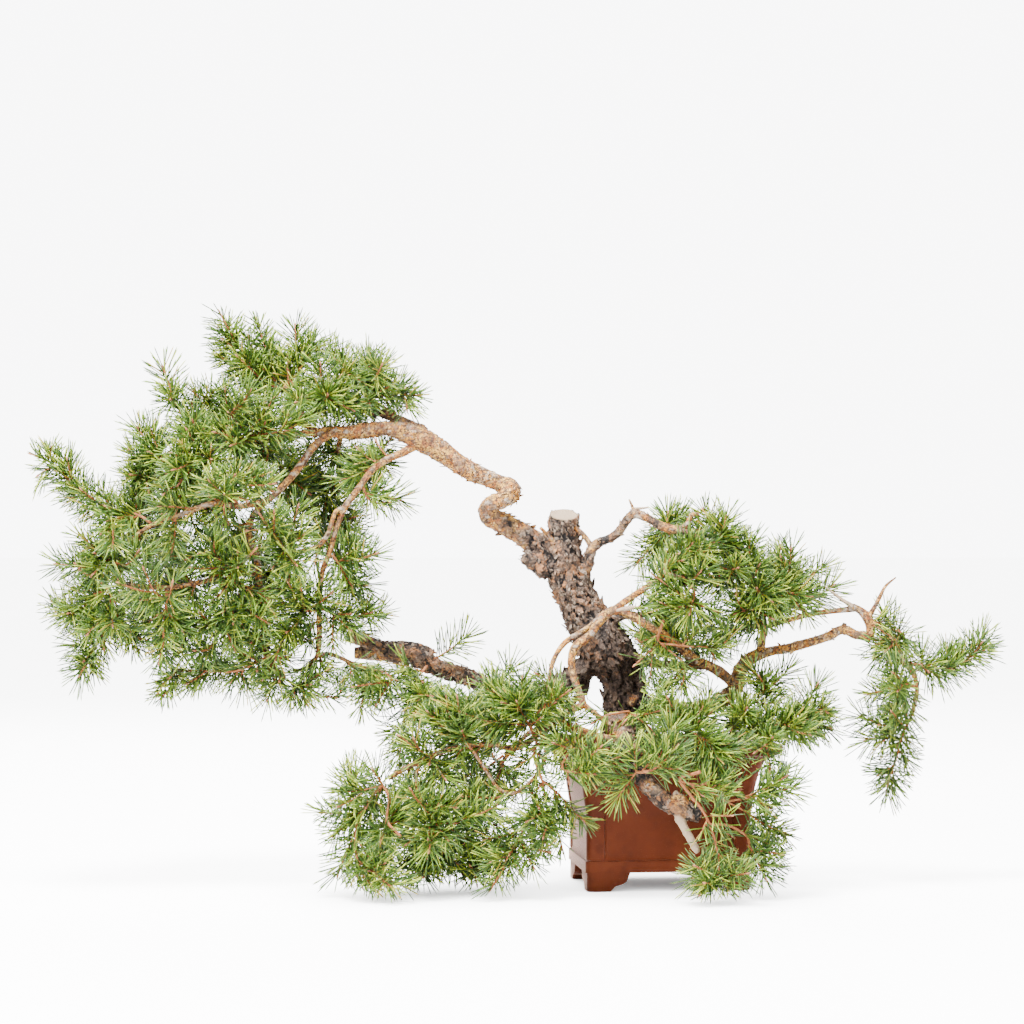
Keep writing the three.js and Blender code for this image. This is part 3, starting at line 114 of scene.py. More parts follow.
def smooth_line(points, step):
    """Rows about one step apart on a smooth curve through the given rows.

    Between two rows the curve is a cubic in the distance along the chords. Its slope at a row is
    the weighted mean of the slopes of the chords on both sides. Extra columns, such as a radius,
    are carried along in the same way."""
    along = distance_along(points[:, :3])
    if len(points) > 2:
        slopes = np.gradient(points, along, axis=0)
    else:
        slopes = np.repeat(np.diff(points, axis=0) / along[1], 2, axis=0)
    wanted = np.linspace(0, along[-1], max(2, int(np.ceil(along[-1] / step)) + 1))
    k = np.clip(np.searchsorted(along, wanted, side="right") - 1, 0, len(along) - 2)
    gap = (along[k + 1] - along[k])[:, None]
    t = (wanted - along[k])[:, None] / gap
    return (
        (1 + 2 * t) * (1 - t) ** 2 * points[k]
        + t * (1 - t) ** 2 * gap * slopes[k]
        + t**2 * (3 - 2 * t) * points[k + 1]
        - t**2 * (1 - t) * gap * slopes[k + 1]
    )


def unit(vectors):
    """Each row at length 1."""
    return vectors / np.maximum(np.linalg.norm(vectors, axis=-1, keepdims=True), 1e-12)


def directions(line):
    """Unit direction of a line at each of its points, and two unit directions square to it.

    The first square direction is a fixed one with its part along the line taken away. The fixed
    one is the direction that the line runs along least, so the skin hardly twists."""
    ahead = unit(np.gradient(line, axis=0))
    least = np.linalg.eigh(ahead.T @ ahead)[1][:, 0]
    side = unit(least - (ahead @ least)[:, None] * ahead)
    return ahead, side, np.cross(ahead, side)


# %% Skins over rings, and tubes
def lofted(rings, ends=None):
    """Vertices and faces of a closed skin over rings with the same number of points.

    The first and the last ring are closed by a fan round one point each: the given ends, or else
    the middles of those rings."""
    if ends is None:
        ends = np.stack([rings[0].mean(axis=0), rings[-1].mean(axis=0)])
    count = len(rings[0])
    vertices = np.concatenate(rings)
    level, k = np.meshgrid(np.arange(len(rings) - 1), np.arange(count), indexing="ij")
    a, b = level * count + k, level * count + (k + 1) % count
    quads = np.stack([a, b, b + count, a + count], axis=-1).reshape(-1, 4)
    k = np.arange(count)
    following = (k + 1) % count
    last = (len(rings) - 1) * count
    none = np.full(count, -1)
    caps = [
        np.stack([following, k, np.full(count, len(vertices)), none], axis=1),
        np.stack([last + k, last + following, np.full(count, len(vertices) + 1), none], axis=1),
    ]
    return np.concatenate([vertices, ends]), np.concatenate([quads, *caps])


def tube(line, radii, sides):
    """A closed round tube along a line.

    Ring k is the line's point k plus its radius times (cos a, sin a) in the two square directions,
    for evenly spaced angles a. Each end is closed by one point on the line."""
    _, side, across = directions(line)
    angle = np.linspace(0, 2 * np.pi, sides, endpoint=False)
    c, s = np.cos(angle)[:, None], np.sin(angle)[:, None]
    circle = c * side[:, None] + s * across[:, None]
    return lofted(line[:, None] + radii[:, None, None] * circle, line[[0, -1]])


def joined(parts):
    """Several (vertices, faces) as one. A face is a row of 4 corners, and a triangle's last is -1."""
    starts = np.cumsum([0] + [len(vertices) for vertices, _ in parts])
    faces = [np.where(f >= 0, f + start, -1) for (_, f), start in zip(parts, starts)]
    return np.concatenate([v for v, _ in parts]), np.concatenate(faces)


# %% A mesh object from arrays
def new_piece(name, vertices, faces, materials, values=None, material_index=None, smooth=True):
    """A mesh object at the origin. Values is a dict of numbers for each vertex, kept as attributes."""
    mesh = bpy.data.meshes.new(name)
    used = faces >= 0
    loops = faces[used].astype(np.int32)
    sizes = used.sum(axis=1)
    starts = np.concatenate([[0], np.cumsum(sizes)[:-1]]).astype(np.int32)
    mesh.vertices.add(len(vertices))
    mesh.vertices.foreach_set("co", np.ascontiguousarray(vertices, np.float32).ravel())
    mesh.loops.add(len(loops))
    mesh.loops.foreach_set("vertex_index", loops)
    mesh.polygons.add(len(faces))
    mesh.polygons.foreach_set("loop_start", starts)
    mesh.polygons.foreach_set("use_smooth", np.full(len(faces), smooth))
    if material_index is not None:
        mesh.polygons.foreach_set("material_index", material_index.astype(np.int32))
    for key, value in (values or {}).items():
        mesh.attributes.new(key, "FLOAT", "POINT").data.foreach_set("value", value.astype(np.float32))
    mesh.update(calc_edges=True)
    mesh.validate()
    for material in materials:
        mesh.materials.append(material)
    piece = bpy.data.objects.new(name, mesh)
    bpy.context.scene.collection.objects.link(piece)
    print(f"{name}: {len(mesh.vertices)} vertices, {int((sizes - 2).sum())} triangles")
    return piece


# %% [markdown]
# ## Noise in space
# Bark and soil need roughness that is the same from every side and each time the script runs.
# Two patterns are enough. Cloudy noise mixes random values at the corners of a grid of cubes.
# Cracked noise scatters one point in each cube and looks how much nearer the nearest point is
# than the second: along the borders between two points' realms the difference falls to nothing,
# and there a crack runs.

# %% Noise functions
def hashed(cells, salt):
    """A random number from 0 to 1 for each row of whole numbers, always the same for the same row."""
    x, y, z = cells.astype(np.int64).T
    mixed = (x * 73856093 ^ y * 19349663 ^ z * 83492791 ^ salt * 2654435761) & 0xFFFFFFFF
    for _ in range(2):
        mixed = ((mixed >> 16) ^ mixed) * 0x45D9F3B & 0xFFFFFFFF
    return ((mixed >> 16) ^ mixed) / 0xFFFFFFFF


CUBE_CORNERS = np.array([(i, j, k) for i in (0, 1) for j in (0, 1) for k in (0, 1)])
CUBE_NEIGHBOURS = np.array([(i, j, k) for i in (-1, 0, 1) for j in (-1, 0, 1) for k in (-1, 0, 1)])


def cloudy(points, salt=0):
    """Smooth noise from -1 to 1 with a grid of size 1: the corners' values mixed by smooth shares."""
    base = np.floor(points)
    share = points - base
    share = share * share * (3 - 2 * share)
    total = np.zeros(len(points))
    for corner in CUBE_CORNERS:
        weight = np.prod(np.where(corner, share, 1 - share), axis=1)
        total += weight * hashed(base + corner, salt)
    return 2 * total - 1


def rough(points, octaves=3, salt=0):
    """Cloudy noise added up at ever finer sizes, each half as strong as the one before."""
    return sum(cloudy(points * 2**k, salt + k) / 2**k for k in range(octaves))


def cracked(points, salt=0):
    """Cracks and plates with a grid of size 1.

    Returns how far each point is from the border of its plate, a random number for the plate, and
    how high the point lies on it if every plate is tilted its own way, from about -1 to 1."""
    base = np.floor(points)
    nearest = np.full(len(points), 9.0)
    second = np.full(len(points), 9.0)
    plate = np.zeros(len(points))
    tilt = np.zeros(len(points))
    for neighbour in CUBE_NEIGHBOURS:
        cell = base + neighbour
        seed = cell + np.stack([hashed(cell, salt + k) for k in (1, 2, 3)], axis=1)
        distance = np.linalg.norm(points - seed, axis=1)
        closer = distance < nearest
        second = np.where(closer, nearest, np.minimum(second, distance))
        plate = np.where(closer, hashed(cell, salt + 4), plate)
        slope = np.stack([hashed(cell, salt + k) for k in (5, 6, 7)], axis=1) - 0.5
        tilt = np.where(closer, 2 * ((points - seed) * slope).sum(axis=1), tilt)
        nearest = np.minimum(nearest, distance)
    return second - nearest, plate, tilt


def ramp(values, low, high):
    """0 below low, 1 above high, and a smooth rise between."""
    t = np.clip((values - low) / (high - low), 0, 1)
    return t * t * (3 - 2 * t)


# %% [markdown]
# ## Materials from shared effects
# Nearly every surface here is one colour broken up by patches of another, at several sizes, and
# a little relief. Those effects are made once, as node groups with named inputs, and each
# material chains them with its own values. The shader itself stays in the material.

# %% Node helpers
def effect(name, inputs, outputs):
    """A shader node group with the given sockets, and its input and output nodes."""
    tree = bpy.data.node_groups.new(name, "ShaderNodeTree")
    for label, (kind, value) in inputs.items():
        tree.interface.new_socket(label, in_out="INPUT", socket_type=kind).default_value = value
    for label, kind in outputs.items():
        tree.interface.new_socket(label, in_out="OUTPUT", socket_type=kind)
    return tree, tree.nodes.new("NodeGroupInput"), tree.nodes.new("NodeGroupOutput")


def feed(tree, socket, value):
    """Gives an input another node's result, or else a plain value."""
    if isinstance(value, bpy.types.NodeSocket):
        tree.links.new(value, socket)
    else:
        socket.default_value = value


def math_node(tree, operation, first, second):
    """The result of a math node on two results or numbers."""
    made = tree.nodes.new("ShaderNodeMath")
    made.operation = operation
    feed(tree, made.inputs[0], first)
    feed(tree, made.inputs[1], second)
    return made.outputs[0]


def mixed_colour(tree, share, below, above):
    """A colour between two others."""
    made = tree.nodes.new("ShaderNodeMix")
    made.data_type = "RGBA"
    for name, value in (("Factor_Float", share), ("A_Color", below), ("B_Color", above)):
        feed(tree, next(socket for socket in made.inputs if socket.identifier == name), value)
    return next(socket for socket in made.outputs if socket.identifier == "Result_Color")


def noise_node(tree, where, scale, detail):
    """A noise of the given scale and detail at a place, and the node that makes it."""
    made = tree.nodes.new("ShaderNodeTexNoise")
    tree.links.new(where, made.inputs["Vector"])
    feed(tree, made.inputs["Scale"], scale)
    feed(tree, made.inputs["Detail"], detail)
    return made


def object_place(tree):
    """The place of a point in the object's own space."""
    return tree.nodes.new("ShaderNodeTexCoord").outputs["Object"]


# %% Patches: noise in the object's own space
FLOAT, COLOUR = "NodeSocketFloat", "NodeSocketColor"


def make_patches():
    """Patches of a second colour on a base, where a noise lies between two limits, and their mask."""
    tree, taken, given = effect(
        "patches",
        {
            "Base": (COLOUR, (1, 1, 1, 1)), "Patch": (COLOUR, (0, 0, 0, 1)), "Scale": (FLOAT, 50),
            "Detail": (FLOAT, 3), "Low": (FLOAT, 0.4), "High": (FLOAT, 0.6), "Strength": (FLOAT, 1),
        },
        {"Color": COLOUR, "Mask": FLOAT},
    )
    noise = noise_node(tree, object_place(tree), taken.outputs["Scale"], taken.outputs["Detail"])
    limits = tree.nodes.new("ShaderNodeMapRange")
    limits.interpolation_type = "SMOOTHSTEP"
    tree.links.new(noise.outputs["Fac"], limits.inputs["Value"])
    tree.links.new(taken.outputs["Low"], limits.inputs["From Min"])
    tree.links.new(taken.outputs["High"], limits.inputs["From Max"])
    mask = math_node(tree, "MULTIPLY", limits.outputs["Result"], taken.outputs["Strength"])
    tree.links.new(mask, given.inputs["Mask"])
    colour = mixed_colour(tree, mask, taken.outputs["Base"], taken.outputs["Patch"])
    tree.links.new(colour, given.inputs["Color"])
    return tree


patches_effect = make_patches()


# %% Relief: coarse and fine noise added
def make_relief():
    """A height: a coarse noise, plus a share of a fine one."""
    inputs = {"Scale": (FLOAT, 200), "Fine scale": (FLOAT, 900), "Fine share": (FLOAT, 0.4)}
    tree, taken, given = effect("relief", inputs, {"Height": FLOAT})
    where = object_place(tree)
    coarse = noise_node(tree, where, taken.outputs["Scale"], 4).outputs["Fac"]
    fine = noise_node(tree, where, taken.outputs["Fine scale"], 4).outputs["Fac"]
    fine = math_node(tree, "MULTIPLY", fine, taken.outputs["Fine share"])
    tree.links.new(math_node(tree, "ADD", coarse, fine), given.inputs["Height"])
    return tree


relief_effect = make_relief()


# %% Scales: cells with a random kind each, and dark borders between them
def vector_node(tree, operation, first, second_name, second):
    """The result of a vector math node on a place and a second input."""
    made = tree.nodes.new("ShaderNodeVectorMath")
    made.operation = operation
    tree.links.new(first, made.inputs[0])
    tree.links.new(second, made.inputs[second_name])
    return made.outputs[0]


def cell_node(tree, where, feature):
    """A pattern of random cells: each cell's own colour, or the distance to its edge."""
    made = tree.nodes.new("ShaderNodeTexVoronoi")
    made.feature = feature
    made.inputs["Scale"].default_value = 1.0
    tree.links.new(where, made.inputs["Vector"])
    return made


def make_scales():
    """Cells in space that a noise bends: a random number for each, and the mask of their borders."""
    inputs = {"Scale": (FLOAT, 150), "Ragged": (FLOAT, 0.5)}
    tree, taken, given = effect("scales", inputs, {"Kind": FLOAT, "Border": FLOAT})
    grown = vector_node(tree, "SCALE", object_place(tree), "Scale", taken.outputs["Scale"])
    stray = noise_node(tree, grown, 1.3, 3).outputs["Color"]
    ragged = math_node(tree, "MULTIPLY", taken.outputs["Ragged"], 3.0)
    bent = vector_node(tree, "ADD", grown, 1, vector_node(tree, "SCALE", stray, "Scale", ragged))
    apart = tree.nodes.new("ShaderNodeSeparateColor")
    tree.links.new(cell_node(tree, bent, "F1").outputs["Color"], apart.inputs[0])
    tree.links.new(apart.outputs[0], given.inputs["Kind"])
    from_edge = cell_node(tree, bent, "DISTANCE_TO_EDGE").outputs["Distance"]
    near = math_node(tree, "MINIMUM", math_node(tree, "DIVIDE", from_edge, 0.12), 1.0)
    tree.links.new(math_node(tree, "SUBTRACT", 1.0, near), given.inputs["Border"])
    return tree


scales_effect = make_scales()


# %% A material and the steps that build its colour
class Finish:
    """A material in the making: its shader, and the colour that the steps have built so far."""

    def __init__(self, name, colour, roughness):
        self.material = bpy.data.materials.new(name)
        self.material.use_nodes = True
        self.tree = self.material.node_tree
        self.shader = next(n for n in self.tree.nodes if n.type == "BSDF_PRINCIPLED")
        self.shader.inputs["Roughness"].default_value = roughness
        self.colour = (*colour, 1)

    def group(self, effect_tree, values):
        """One of the shared effects in this material, with its inputs set."""
        made = self.tree.nodes.new("ShaderNodeGroup")
        made.node_tree = effect_tree
        for label, value in values.items():
            feed(self.tree, made.inputs[label], value)
        return made.outputs

    def patches(self, patch, scale, low, high, strength=1):
        """Patches of another colour, where a noise lies between two values."""
        made = self.group(patches_effect, {
            "Base": self.colour, "Patch": (*patch, 1), "Scale": scale, "Low": low, "High": high,
            "Strength": strength,
        })
        self.colour = made["Color"]

    def scales(self, scale, ragged):
        """Cells of about 1 / scale metres. Returns a random kind for each and the mask of borders."""
        made = self.group(scales_effect, {"Scale": scale, "Ragged": ragged})
        return made["Kind"], made["Border"]

    def both(self, first, second):
        """The product of two masks or numbers."""
        return math_node(self.tree, "MULTIPLY", first, second)

    def rest(self, mask):
        """What a mask leaves over: 1 minus it."""
        return math_node(self.tree, "SUBTRACT", 1.0, mask)

    def value(self, name):
        """A number that the mesh carries at its vertices."""
        made = self.tree.nodes.new("ShaderNodeAttribute")
        made.attribute_name = name
        return made.outputs["Fac"]

    def between(self, value, low, high):
        """0 where the value is below low, 1 above high, smooth between."""
        made = self.tree.nodes.new("ShaderNodeMapRange")
        made.interpolation_type = "SMOOTHSTEP"
        made.inputs["From Min"].default_value = low
        made.inputs["From Max"].default_value = high
        feed(self.tree, made.inputs["Value"], value)
        return made.outputs["Result"]

    def tint(self, mask, colour, share=1):
        """Moves the colour towards another by a mask, or by a share of that mask."""
        if share != 1:
            mask = self.both(mask, share)
        self.colour = mixed_colour(self.tree, mask, self.colour, (*colour, 1))

    def tint_above(self, value, steps):
        """For each (low, high, colour, share), a tint where the value rises from low to high."""
        for low, high, colour, share in steps:
            self.tint(self.between(value, low, high), colour, share)

    def relief(self, distance, scale, fine_scale, fine_share):
        """Bumps of about the given height in metres."""
        values = {"Scale": scale, "Fine scale": fine_scale, "Fine share": fine_share}
        bump = self.tree.nodes.new("ShaderNodeBump")
        bump.inputs["Distance"].default_value = distance
        self.tree.links.new(self.group(relief_effect, values)["Height"], bump.inputs["Height"])
        self.tree.links.new(bump.outputs["Normal"], self.shader.inputs["Normal"])

    def done(self):
        """The finished material, with the built colour on its shader."""
        feed(self.tree, self.shader.inputs["Base Color"], self.colour)
        return self.material


# %% [markdown]
# ## The clay pot
# A pressed clay pot, unglazed and fired red-brown. It is a rectangle with rounded corners whose
# walls are upright below and curve out to a flat lip. Each wall has a sunk panel between raised
# corner strips, and a ledge above its foot. It could be a cube with bevels and insets. Here one
# rounded rectangle is carried up the wall's profile, so every line on it stays level, and the
# panel is pressed in by moving points of that surface.

# %% Sizes of the pot
POT_TURN = np.radians(6.5)
POT_HALF = np.array([0.1088, 0.090])
CORNER_RADIUS = 0.008
# The wall's profile: millimetres out from POT_HALF, and up. Outside from the foot, inside from the lip.
POT_OUTSIDE = [
    (1.2, 25), (1.2, 39.2), (0.4, 40.0), (-0.9, 40.4), (-0.9, 41.2), (0, 41.8), (0, 98), (2.5, 115),
    (5.5, 135), (10, 154), (17, 169), (27, 176), (36, 179), (38, 182), (38, 189), (36.5, 191),
]
POT_INSIDE = [
    (25, 191), (23.5, 189), (10, 177), (1, 165), (-3, 150), (-7, 120), (-9, 98), (-10, 37),
]
PROFILE_STEP = 0.0036
PANEL_DEPTH = 0.0014
PANEL_FOOT = (0.0415, 0.0435)
PANEL_TOP = (0.150, 0.168)
STRIP_EDGE = (0.023, 0.025)
LINE_FROM_CORNER = 0.024
LINE_WIDTH = 0.0010
LINE_DEPTH = 0.0018
print("pot", np.round(pot_low, 4).tolist(), np.round(pot_high, 4).tolist())


def turned(points):
    """From the pot's own axes to the frame: the pot stands a few degrees askew."""
    c, s = np.cos(POT_TURN), np.sin(POT_TURN)
    x, y, z = points.T
    return np.stack([pot_middle[0] + x * c - y * s, pot_middle[1] + x * s + y * c, z], axis=1)


def unturned(points):
    """Across and back in the pot's own axes, from points in the frame."""
    c, s = np.cos(POT_TURN), np.sin(POT_TURN)
    x, y = (points - pot_middle)[:, :2].T
    return x * c + y * s, -x * s + y * c


# %% The wall's profile and the pressed panel
def pot_profile(rows):
    """The profile as (outside, height) in metres, cut into short steps so that it can be pressed."""
    rows = np.array(rows) / 1000
    pieces = []
    for low, high in zip(rows[:-1], rows[1:]):
        steps = int(np.ceil(np.linalg.norm(high - low) / PROFILE_STEP))
        pieces.append(np.linspace(low, high, max(2, steps + 1))[:-1])
    return np.concatenate([*pieces, rows[-1:]])


def wall_stops(half, radius):
    """Distances along a wall from its middle, close together where a line is pressed into it.

    They end where the corner's arc begins, and crowd together when that arc is large."""
    from_edge = np.array([9, 12, 16, 20, 21.5, 22.4, 23.2, 24, 24.8, 25.6, 27, 30, 34]) / 1000
    last = from_edge[-1]
    crowded = radius + (from_edge - CORNER_RADIUS) * (last - radius) / (last - CORNER_RADIUS)
    inner = np.linspace(0, half - last, 7)[1:-1]
    one_side = np.concatenate([inner, (half - crowded)[::-1]])
    return np.concatenate([-one_side[::-1], [0], one_side])


def pot_ring(outside, height):
    """One level of the pot: a rounded rectangle, with the panel pressed in where it is a wall.

    A point on a straight wall moves in by the panel's depth where it is past the corner strip,
    and by the line's depth where the strip meets the panel."""
    half = POT_HALF + outside
    radius = CORNER_RADIUS + max(outside, 0) / 2
    arc = np.linspace(0, np.pi / 2, 9)
    pressed = ramp(height, *PANEL_FOOT) * (1 - ramp(height, *PANEL_TOP))
    ring = []
    for quarter, (sx, sy) in enumerate([(1, 1), (-1, 1), (-1, -1), (1, -1)]):
        angle = arc + quarter * np.pi / 2
        round_corner = radius * np.stack([np.cos(angle), np.sin(angle)], axis=1)
        ring.append(np.array([sx, sy]) * (half - radius) + round_corner)
        runs_across = quarter % 2 == 0
        run_half, wall_half = half if runs_across else half[::-1]
        stops = wall_stops(run_half, radius)
        from_corner = run_half - np.abs(stops)
        panel = PANEL_DEPTH * ramp(from_corner, *STRIP_EDGE)
        line = LINE_DEPTH * np.exp(-(((from_corner - LINE_FROM_CORNER) / LINE_WIDTH) ** 2))
        depth = wall_half - (panel + line) * pressed
        side_wall = np.stack([-stops, depth] if runs_across else [-depth, -stops], axis=1)
        ring.append(side_wall if quarter < 2 else -side_wall)
    ring = np.concatenate(ring)
    return np.column_stack([ring, np.full(len(ring), height)])


# %% Feet
# A foot's outline from below: millimetres from the corner, and up.
FOOT_EDGE = [
    (-1, 0), (30.4, 0), (31.6, 1.2), (36.2, 6.4), (38, 7.4), (45.5, 9.4), (48, 10.8), (51.6, 13),
    (53.4, 17), (57, 25.9),
]
FOOT_STOPS = [
    57, 55, 53.4, 52.5, 51.6, 50, 48, 46.7, 45.5, 42, 38, 37, 36.2, 33.5, 31.6, 31, 30.4, 27, 24,
    18, 12, 8,
]
FOOT_THICKNESS = 0.024
FOOT_TOP = 0.026
FOOT_SET_BACK = 0.0008
# A foot's section, from outside down and round to inside: millimetres in from its own face, and
# above the outline. Its lower edges are a little rounded.
FOOT_SECTION = [(0, 1.2), (0.3, 0.4), (1, 0)]


def foot_band():
    """One foot seen from below: its outer and its inner line, and the outline's height there."""
    arm = np.array(FOOT_STOPS) / 1000
    height = np.interp(arm, *(np.array(FOOT_EDGE).T / 1000))
    arc = np.linspace(0, np.pi / 2, 9)[1:-1]
    half = POT_HALF - FOOT_SET_BACK
    corner = half - CORNER_RADIUS
    outer = np.concatenate([
        np.stack([half[0] - arm, np.full(len(arm), half[1])], axis=1),
        corner + CORNER_RADIUS * np.stack([np.sin(arc), np.cos(arc)], axis=1),
        np.stack([np.full(len(arm), half[0]), half[1] - arm[::-1]], axis=1),
    ])
    height = np.concatenate([height, np.zeros(len(arc)), height[::-1]])
    return outer, np.minimum(outer, half - FOOT_THICKNESS), height


def foot(sx, sy):
    """One bracket foot: a wall 24 mm thick round a corner, cut below to the foot's curved outline.

    It is a band along the corner. At each distance from the corner a small rounded rectangle
    hangs from the pot's floor down to the outline's height there."""
    outer, inner, height = foot_band()
    top = np.full(len(outer), FOOT_TOP)
    sections = []
    for line, other in ((outer, inner), (inner, outer)):
        inwards = unit(other - line)
        side = [np.column_stack([line, top])]
        for inset, rise in np.array(FOOT_SECTION) / 1000:
            lower = np.minimum(height + rise, FOOT_TOP - 0.0001)
            side.append(np.column_stack([line + inset * inwards, lower]))
        sections += side if line is outer else side[::-1]
    rings = np.stack(sections, axis=1) * np.array([sx, sy, 1])
    return lofted(rings if sx * sy < 0 else rings[::-1])


# %% The whole pot
DRAIN_RADIUS = 0.012
DRAIN_SPACING = 0.096
DRILL_SPAN = (0.01, 0.05)
DRILL_SIDES = 48
wall = np.concatenate([pot_profile(POT_OUTSIDE), pot_profile(POT_INSIDE)])
wall_vertices, wall_faces = lofted([pot_ring(outside, height) for outside, height in wall])
feet_vertices, feet_faces = joined([foot(sx, sy) for sx in (1, -1) for sy in (1, -1)])


def drilled(vertices, faces, lines, radius):
    """The mesh with a round hole along each line, by Boolean modifiers that are applied at once."""
    body = new_piece("pot_blank", vertices, faces, [])
    cutters = []
    for k, line in enumerate(lines):
        drill = tube(line, np.full(len(line), radius), DRILL_SIDES)
        cutters.append(new_piece(f"drill_{k}", *drill, []))
        cut = body.modifiers.new("drill", "BOOLEAN")
        cut.object = cutters[-1]
        cut.solver = "EXACT"
    evaluated = body.evaluated_get(bpy.context.evaluated_depsgraph_get())
    mesh = bpy.data.meshes.new_from_object(evaluated)
    for item in [body, *cutters]:
        bpy.data.objects.remove(item)
    return mesh


drills = [
    turned(np.array([(side * DRAIN_SPACING / 2, 0, up) for up in DRILL_SPAN])) for side in (-1, 1)
]
pot_mesh = drilled(turned(wall_vertices), wall_faces, drills, DRAIN_RADIUS)

# %% Clay
CREASE_ANGLE = np.radians(38)
clay = Finish("unglazed clay", (0.086, 0.0145, 0.0021), 0.6)
clay.shader.inputs["Specular IOR Level"].default_value = 0.15
clay.shader.inputs["Sheen Weight"].default_value = 1.0
clay.shader.inputs["Sheen Roughness"].default_value = 0.28
clay.shader.inputs["Sheen Tint"].default_value = (1, 0.68, 0.56, 1)
clay.patches((0.124, 0.0245, 0.0050), 14, 0.42, 0.68, 0.7)
clay.patches((0.056, 0.0085, 0.0015), 33, 0.52, 0.74, 0.6)
clay.patches((0.19, 0.066, 0.034), 900, 0.62, 0.72, 0.35)
clay.relief(0.00025, 420, 2200, 0.5)
clay_material = clay.done()
pot_mesh.materials.clear()
pot_mesh.materials.append(clay_material)
pot = bpy.data.objects.new("clay_pot", pot_mesh)
bpy.context.scene.collection.objects.link(pot)
print("clay_pot:", len(pot_mesh.loops) - 2 * len(pot_mesh.polygons), "triangles")
feet = new_piece("pot_feet", turned(feet_vertices), feet_faces, [clay_material])
for piece in (pot, feet):
    piece.data.shade_smooth()
    piece.data.set_sharp_from_angle(angle=CREASE_ANGLE)
    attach(piece, "root")
    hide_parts("pot")

# %% [markdown]
# ## Soil and drain screens
# Bonsai soil is sifted grit: baked clay, pumice and bark, in grains of two to five millimetres.
# A bumpy sheet alone looks like mud, so grains are strewn over it. Each is a stretched and dented
# ball of twenty faces, and all of them are one mesh. The two screens under it are plastic mesh;
# their CAD shape is right, so they only get their finish.

# %% The bed of soil
SOIL_EDGE = 0.176
SOIL_CROWN = 0.181
SOIL_FLOOR = 0.0393
SOIL_BEYOND = 0.009
SOIL_HEAPS = 0.0016
HEAP_SIZE = 0.022
SOIL_SUNK = 0.0006
SOIL_OUTSIDE = 0.0085
SOIL_GAP = 0.0004


def soil_height(x, y):
    """Height of the soil: the crown falls away to the edge, with small heaps of noise on it."""
    half_x, half_y = POT_HALF + SOIL_BEYOND
    share = np.maximum(np.abs(x) / half_x, np.abs(y) / half_y)
    crown = SOIL_CROWN - (SOIL_CROWN - SOIL_EDGE) * ramp(share, 0.3, 1.0)
    heaps = rough(np.column_stack([x, y, np.zeros(len(x))]) / HEAP_SIZE, 2, 11)
    return crown + SOIL_HEAPS * heaps * (1 - ramp(share, 0.85, 1.0)) - SOIL_SUNK


def soil_ring(share):
    """A ring of the soil's top: the edge ring drawn in towards the middle by a share."""
    edge = pot_ring(SOIL_OUTSIDE, SOIL_EDGE)[:, :2] * share
    return np.column_stack([edge, soil_height(*edge.T)])


inside = [
    pot_ring(min(outside, SOIL_OUTSIDE) - SOIL_GAP, height)
    for outside, height in pot_profile(POT_INSIDE)[::-1]
    if height < SOIL_EDGE
]
inside[0][:, 2] = SOIL_FLOOR
soil_bed = lofted(inside[::4] + [soil_ring(share) for share in np.linspace(1, 0.03, 14)])

# %% Grains
GRAINS = 1700
GRAIN_SPREAD = (0.114, 0.095)
GRAIN_RADII = (0.0011, 0.0025)
GRAIN_PROUD = 0.35
grain_random = np.random.default_rng(7)
grain_x = grain_random.uniform(-GRAIN_SPREAD[0], GRAIN_SPREAD[0], GRAINS)
grain_y = grain_random.uniform(-GRAIN_SPREAD[1], GRAIN_SPREAD[1], GRAINS)
ball = bpy.data.meshes.new("ball")
shaper = bmesh.new()
bmesh.ops.create_icosphere(shaper, subdivisions=1, radius=1)
shaper.to_mesh(ball)
shaper.free()
ball_points = np.array([v.co for v in ball.vertices])
ball_faces = np.array([list(p.vertices) + [-1] for p in ball.polygons])
bpy.data.meshes.remove(ball)


def strewn(points, faces, places, radii, salt):
    """Many dented balls in one mesh: each is stretched along a random axis and turned."""
    random = np.random.default_rng(salt)
    stretch = random.uniform(0.7, 1.15, (len(places), 1, 3))
    dents = random.uniform(0.78, 1.1, (len(places), len(points), 1))
    turns = np.linalg.qr(random.normal(size=(len(places), 3, 3)))[0]
    shaped = np.einsum("nij,nkj->nki", turns, points[None] * stretch * dents)
    vertices = places[:, None] + radii[:, None, None] * shaped
    starts = (np.arange(len(places)) * len(points))[:, None, None]
    all_faces = np.where(faces[None] >= 0, faces[None] + starts, -1)
    return vertices.reshape(-1, 3), all_faces.reshape(-1, 4)


grain_radius = grain_random.uniform(*GRAIN_RADII, GRAINS)
grain_up = soil_height(grain_x, grain_y) + grain_radius * GRAIN_PROUD
grain_places = np.column_stack([grain_x, grain_y, grain_up])
soil_grains = strewn(ball_points, ball_faces, grain_places, grain_radius, 3)
grain_kind = np.repeat(grain_random.uniform(0, 1, GRAINS), len(ball_points))

# %% Grit
# Grains of four sorts: dark baked clay, lighter clay, pale pumice and black bark.
grit = Finish("soil grit", (0.085, 0.048, 0.028), 0.9)
grit.tint_above(grit.value("kind"), [
    (0.42, 0.5, (0.17, 0.10, 0.055), 1),
    (0.78, 0.82, (0.38, 0.34, 0.28), 1),
    (0.93, 0.95, (0.035, 0.03, 0.028), 1),
])
grit.patches((0.05, 0.03, 0.02), 420, 0.5, 0.7, 0.5)
grit.relief(0.0003, 900, 2600, 0.6)
grit_material = grit.done()

for name, (vertices, faces), values in (
    ("soil_bed", soil_bed, {}),
    ("soil_grains", soil_grains, {"kind": grain_kind}),
):
    piece = new_piece(name, turned(vertices), faces, [grit_material], values)
    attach(piece, "root")
    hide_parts("soil")

